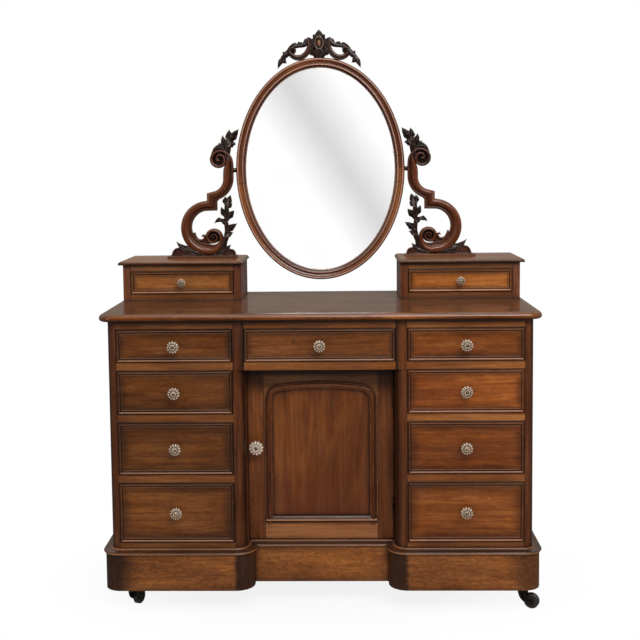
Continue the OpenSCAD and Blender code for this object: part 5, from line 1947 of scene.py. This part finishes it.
@dataclass
class SwingMirror(SubAssembly):
    """The oval mirror with its moulded frame, crest and pivots."""

    half_w: float = 260.0
    half_h: float = 341.0
    frame_w: float = 30.0
    height: float = 16.0
    back_y: float = 3.0
    centre: Triple = (0.0, 170.5, 1227.0)
    oval_steps: int = 360
    section_steps: int = 40
    section: Points = (
        (0.0, 0.5), (0.04, 0.74), (0.10, 0.9), (0.18, 0.97), (0.26, 0.88), (0.32, 0.70), (0.40, 0.62),
        (0.50, 0.56), (0.58, 0.56), (0.64, 0.66), (0.70, 0.78), (0.76, 0.74), (0.81, 0.58), (0.90, 0.46),
        (1.0, 0.34),
    )
    crest_scroll: Points = (
        (31, 58, 4), (29.5, 46, 6), (31, 31, 7), (38, 15, 8.2), (51, 3.5, 8.6), (66, 0.5, 8.4), (80, 5, 7.6),
        (90, 15, 6.8), (91, 25, 6), (85, 31, 5.5), (77, 30, 4.5), (74, 24, 3),
    )
    crest_stems: tuple[Points, ...] = (
        ((29, 60, 6), (32, 52, 8), (42, 41.5, 8), (52, 37, 6.2), (64, 35.5, 5.4), (78, 32.5, 5.2)),
        ((84, 26, 9), (90, 19, 10), (101, 9, 8.6), (111, 0, 6.8), (117, -10, 5.2), (122, -21, 3)),
    )
    crest_leaves: Sequence[tuple] = (
        ((31, 42), (33.5, 52), (35, 62), 8), ((42, 40), (41, 50), (44, 58), 6),
        ((54, 36), (60, 42), (64, 49), 7.5), ((92, 10), (104, 13), (111, 20), 6.5),
        ((108, 4), (119, -13), (127, -33), 6.2), ((112, 0), (107, -10), (99, -15), 6.2),
        ((15, 36), (25, 20), (25, 6), 7), ((7, 28), (12, 14), (16, 0), 7), ((7, 58), (13, 64), (19, 70), 6.5),
        ((66, 33), (76, 38), (92, 34), 6.5),
    )
    crest_ground: Points = (
        (-14, -2), (-17, 4), (-34, 14), (-31, 52), (-20, 58), (20, 58), (31, 52), (34, 14), (17, 4), (14, -2),
    )
    crest_middle: Points = ((0, 1, 12), (0, 12, 11), (0, 24, 13), (0, 44, 14.5), (0, 60, 13), (0, 68, 8))
    crest_depth: float = 20.0
    crest_leaf_depth: float = 17.0
    ground_depths: Pair = (6.5, -1.0)
    stone_middle: Pair = (0.0, 43.5)
    stone_y: float = -5.0
    stone_half: Triple = (6.0, 7.0, 10.5)
    rim_middle: Pair = (0.0, 44.0)
    rim_half: Pair = (12.6, 18.4)
    rim_y: float = -11.5
    rim_roll: Pair = (1.3, 2.0)
    rim_steps: int = 40
    roll_steps: int = 10

    def finishes(self) -> dict[str, Finish]:
        """The finish of the glass, the backboard and the pivots.

        Returns:
            The finishes, by node.
        """
        return {
            "mirror_glass": SILVER, "mirror_backboard": UPRIGHT_PINE, "mirror_pivots": PIVOT_IRON,
            "pivot_sockets": PIVOT_IRON,
        }

    def moulding(self) -> list[Pair]:
        """Divide the moulding's section evenly.

        Returns:
            Even steps across the moulding with its height at each, and the two corners behind.
        """
        rows = smooth_path(self.section, 8)
        across = []
        for i in range(self.section_steps + 1):
            share = i / self.section_steps
            after = next((k for k, row in enumerate(rows) if row[0] >= share), len(rows) - 1)
            low, high = rows[max(after - 1, 0)], rows[after]
            part = (share - low[0]) / (high[0] - low[0]) if high[0] > low[0] else 0.0
            across.append((share, low[1] + (high[1] - low[1]) * part))
        return [*across, (1.0, 0.0), (0.0, 0.0)]

    def oval(self, angle: float, inward: float) -> Vector:
        """Find a point on the frame's outer line, drawn in square to it.

        Args:
            angle: The angle round the oval, in radians.
            inward: The distance from the outer line.

        Returns:
            X and Z from the middle of the mirror.
        """
        c, s = math.cos(angle), math.sin(angle)
        normal = Vector((c / self.half_w, s / self.half_h)).normalized()
        return Vector((self.half_w * c, self.half_h * s)) - normal * inward

    def oval_frame(self) -> bpy.types.Object:
        """Model the moulded oval frame.

        Returns:
            The frame.
        """
        x0, y0, z0 = self.centre
        moulding = self.moulding()
        rings = []
        for i in range(self.oval_steps):
            ring = []
            for share, lift in moulding:
                spot = Vector((x0, z0)) + self.oval(math.tau * i / self.oval_steps, share * self.frame_w)
                ring.append(upright(spot, y0 + self.back_y - lift * self.height))
            rings.append(ring)
        return bent_strip("oval_frame", rings, closed=True, smooth=70)

    def both_halves(self, name: str, parts: Sequence[bpy.types.Object]) -> bpy.types.Object:
        """Join the parts of the crest's right half with their mirror image.

        Args:
            name: The name of the whole.
            parts: The parts.

        Returns:
            The whole.
        """
        half = join(name, parts)
        return join(name, [half, copy_to(half, "other", Matrix.Diagonal((-1, 1, 1, 1)))])

    def crest(self) -> tuple[bpy.types.Object, bpy.types.Object]:
        """Carve the crest with its scrolls and leaves.

        Returns:
            The dark carving and the brown scrolls.
        """
        wood, leaf_wood = Carver(self.crest_depth), Carver(self.crest_leaf_depth)
        path = smooth_path(self.crest_scroll, 7)
        stations = [
            Station(Vector((x, z)), -across_path(path, i), half, 0.2) for i, (x, z, half) in enumerate(path)
        ]
        scroll = wood.carved_band(stations, "crest_scroll")
        scroll_eye = wood.eye((83, 23), 12.5, 4)
        leaves = [leaf_wood.rod(rows) for rows in self.crest_stems]
        leaves += [leaf_wood.leaf(*row) for row in self.crest_leaves]
        dark = self.both_halves("crest_leaves", leaves)
        brown = self.both_halves("crest_scrolls", [scroll, scroll_eye])
        ground = plate("crest_ground", self.crest_ground, self.ground_depths)
        middle = leaf_wood.rod(self.crest_middle, 5, 0.1)
        apex = leaf_wood.leaf((0, 58), (0, 71), (0, 85.5), 10)
        return join("crest_carving", [dark, ground, middle, apex]), brown

    def rim(self) -> bpy.types.Object:
        """Carve the raised oval rim round the cabochon.

        Returns:
            The rim.
        """
        rings = []
        for i in range(self.rim_steps):
            turn = math.tau * i / self.rim_steps
            ring = []
            for k in range(self.roll_steps):
                roll = math.tau * k / self.roll_steps
                out = self.rim_roll[0] * math.cos(roll)
                lift = self.rim_roll[1] * math.sin(roll)
                x = self.rim_middle[0] + (self.rim_half[0] + out) * math.cos(turn)
                z = self.rim_middle[1] + (self.rim_half[1] + out) * math.sin(turn)
                y = self.rim_y + (2 - lift if lift > 0 else 9)
                ring.append(upright((x, z), y))
            rings.append(ring)
        return bent_strip("rim", rings, closed=True, smooth=60)

    def cabochon(self) -> bpy.types.Object:
        """Carve the oval cabochon in the middle of the crest.

        Returns:
            The cabochon.
        """
        pick()
        bpy.ops.mesh.primitive_uv_sphere_add(segments=32, ring_count=16, radius=1.0)
        obj = bpy.context.object
        obj.data.transform(Matrix.Diagonal((*[half * MM for half in self.stone_half], 1)))
        obj.data.transform(Matrix.Translation(upright(self.stone_middle, self.stone_y)))
        return tidy_mesh(obj, smooth=60)

    def build(self) -> None:
        """Dress the glass, the backboard and the pivots, and model the frame and the crest."""
        super().build()
        self.shop.finish_piece(self.oval_frame(), FRAME_WOOD, "mirror", ["mirror_frame"], "mahogany")
        carving, scrolls = self.crest()
        top = Matrix.Translation(Vector((0, self.centre[1], self.centre[2] + self.half_h)) * MM)
        for pattern, name, finish in (
            (carving, "crest_carving_piece", CREST_LEAF_WOOD), (scrolls, "crest_scrolls_piece", CREST_WOOD),
            (self.cabochon(), "crest_cabochon", CABOCHON_WOOD), (self.rim(), "crest_rim", RIM_WOOD),
        ):
            piece = copy_to(pattern, name, top)
            remove(pattern)
            self.shop.finish_piece(piece, finish, "mirror", ["mirror_crest"], "carved_mahogany")


@dataclass(frozen=True)
class FloorPaint(Finish):
    """The studio's pale floor, which fades into the white room and shows dimmer in reflections."""

    name: str = "studio_floor"
    fade: Quad = (0.3, 0.85, 0.86, 1.0)
    dim: float = 0.12

    def shade(self, graph: Graph) -> dict[str, Value]:
        """The paint near the table."""
        return {"Base Color": (0.9, 0.9, 0.9, 1), "Roughness": 0.9, "Specular IOR Level": 0.0}

    def material(self) -> bpy.types.Material:
        """Build the paint, white where it is far and clear to the mirror's sharp rays.

        Returns:
            The material.
        """
        material = super().material()
        graph = Graph(material.node_tree)
        out = next(node for node in graph.tree.nodes if node.type == "OUTPUT_MATERIAL")
        paint = Wire(graph, out.inputs["Surface"].links[0].from_socket)
        rays = graph.outputs("LightPath")
        far = graph.length(graph.scaled(graph.place(), (0.9, 1.4, 1))).ramp(*self.fade)
        white = graph.wire("Emission", {"Color": (1, 1, 1, 1), "Strength": 1.0})
        dim = graph.wire("Emission", {"Color": (1, 1, 1, 1), "Strength": self.dim})
        clear = graph.wire("BsdfTransparent")
        unseen = graph.wire("MixShader", {0: rays["Is Singular Ray"], 1: dim, 2: clear})
        plain = graph.wire("MixShader", {0: far * rays["Is Camera Ray"], 1: paint, 2: white})
        whole = graph.wire("MixShader", {0: rays["Is Glossy Ray"], 1: plain, 2: unseen})
        graph.put(out.inputs["Surface"], whole)
        return material


@dataclass(frozen=True)
class Lamp:
    """A soft rectangular lamp: its place, the point it faces, its width and height, and its power."""

    name: str
    at: Triple
    aim: Triple
    size: Pair
    watts: float

    def hang(self) -> None:
        """Add the lamp to the scene."""
        data = bpy.data.lights.new(self.name, "AREA")
        data.shape = "RECTANGLE"
        data.size, data.size_y = self.size
        data.energy = self.watts
        lamp = bpy.data.objects.new(self.name, data)
        lamp.location = self.at
        lamp.rotation_euler = (Vector(self.aim) - Vector(self.at)).to_track_quat("-Z", "Y").to_euler()
        bpy.context.scene.collection.objects.link(lamp)


@dataclass
class Studio:
    """A plain pale floor, soft lights and the camera at the photograph's place."""

    eye: Triple = (0.055594, -3.178289, 1.222033)
    pitch: float = 0.0801193
    yaw: float = -0.0252817
    roll: float = 0.010754
    focal: float = 1080.42
    sensor: float = 36.0
    centre_px: Pair = (311.78, 257.71)
    frame_px: float = 640.0
    floor_size: float = 60.0
    dim_front: float = 0.08
    dim_back: float = 0.27
    dim_side: float = 0.6
    dim_level: float = 0.55
    grey_slope: float = 0.66
    grey_offset: float = -0.008
    grey_half: float = 0.047
    grey_levels: Pair = (0.34, 0.68)
    warm_room: Quad = (1.0, 0.86, 0.74, 1)
    lamps: tuple[Lamp, ...] = (
        Lamp("key_lamp", (1.0, -2.7, 3.0), (0.1, 0, 0.6), (3.0, 1.0), 90),
        Lamp("fill_lamp", (-2.8, -2.4, 2.0), (0, 0, 0.7), (1.2, 1.8), 8),
        Lamp("top_lamp", (0.1, -0.3, 3.4), (0, 0, 0.8), (2.2, 1.2), 26),
    )

    def camera(self) -> None:
        """Put the camera at the photograph's place."""
        data = bpy.data.cameras.new("camera")
        data.sensor_width = self.sensor
        data.lens = self.focal * self.sensor / self.frame_px
        data.shift_x = (self.frame_px / 2 - self.centre_px[0]) / self.frame_px
        data.shift_y = (self.centre_px[1] - self.frame_px / 2) / self.frame_px
        cp, sp = math.cos(self.pitch), math.sin(self.pitch)
        cy, sy = math.cos(self.yaw), math.sin(self.yaw)
        ahead = Vector((cp * sy, cp * cy, -sp))
        above = Vector((sp * sy, sp * cy, cp))
        right = Vector((cy, -sy, 0))
        cr, sr = math.cos(self.roll), math.sin(self.roll)
        x_axis, y_axis = right * cr - above * sr, right * sr + above * cr
        turn = Matrix((x_axis, y_axis, -ahead)).transposed().to_4x4()
        camera = bpy.data.objects.new("camera", data)
        camera.matrix_world = Matrix.Translation(self.eye) @ turn
        bpy.context.scene.collection.objects.link(camera)
        bpy.context.scene.camera = camera

    def room_seen(self, graph: Graph, rays: dict[str, Wire]) -> Wire:
        """Find how bright the room looks to a ray, by its kind and its direction.

        Args:
            graph: The world's graph.
            rays: What kind of ray it is.

        Returns:
            The brightness, where white is 1.
        """
        x, y, z = graph.axes(graph.place("Generated"))
        shiny = y.ramp(0.1, -0.5, self.dim_back, self.dim_front)
        shiny = shiny.toward(self.dim_side, abs(x).ramp(0.55, 0.9))
        shiny = shiny.toward(1.0, z.ramp(0.24, 0.55))
        slant = z * self.grey_slope + x + self.grey_offset
        off = graph.math("SQRT", slant * slant + 0.00002)
        band = graph.math("MINIMUM", off / self.grey_half, 1.0)
        gain, least = self.grey_levels
        glossy = shiny.toward(band * gain + least, rays["Is Singular Ray"])
        level = rays["Is Glossy Ray"] * (glossy - self.dim_level) + self.dim_level
        seen = graph.strongest([rays["Is Camera Ray"], rays["Is Transmission Ray"]])
        return level.toward(1.0, seen)

    def world(self) -> None:
        """Light the room evenly: white to the camera, and dimmer in reflections from behind the table."""
        world = bpy.data.worlds.new("studio")
        world.use_nodes = True
        bpy.context.scene.world = world
        graph = Graph(world.node_tree)
        background = next(node for node in world.node_tree.nodes if node.type == "BACKGROUND")
        rays = graph.outputs("LightPath")
        on_wood = rays["Is Glossy Ray"] * (1 - rays["Is Singular Ray"])
        graph.put(background.inputs["Color"], graph.mix(on_wood, (1, 1, 1, 1), self.warm_room))
        graph.put(background.inputs["Strength"], self.room_seen(graph, rays))

    def floor(self) -> None:
        """Lay the pale floor."""
        pick()
        bpy.ops.mesh.primitive_plane_add(size=self.floor_size, location=(0, 0, 0))
        floor = bpy.context.object
        floor.name = "studio_floor"
        floor.data.materials.append(FloorPaint().material())

    def build(self) -> None:
        """Set up the studio."""
        self.camera()
        self.world()
        self.floor()
        for lamp in self.lamps:
            lamp.hang()
        bpy.context.scene.view_settings.view_transform = "Standard"
        LOG.info("studio with camera, floor, world and three lamps")


def main() -> None:
    """Build the studio and the table's sub-assemblies in order."""
    logging.basicConfig(level=logging.INFO, format="%(message)s")
    shop = Workshop()
    Studio().build()
    drawers, door = Drawers(shop), Door(shop)
    knobs = KnobSet(shop, {**drawers.knobs(), **door.knobs()})
    standards, mirror = ScrollStandard(shop), SwingMirror(shop)
    for assembly in (Carcass(shop), drawers, door, knobs, Casters(shop), JewelBoxes(shop), standards, mirror):
        assembly.build()
    pick()


if __name__ == "__main__":
    main()
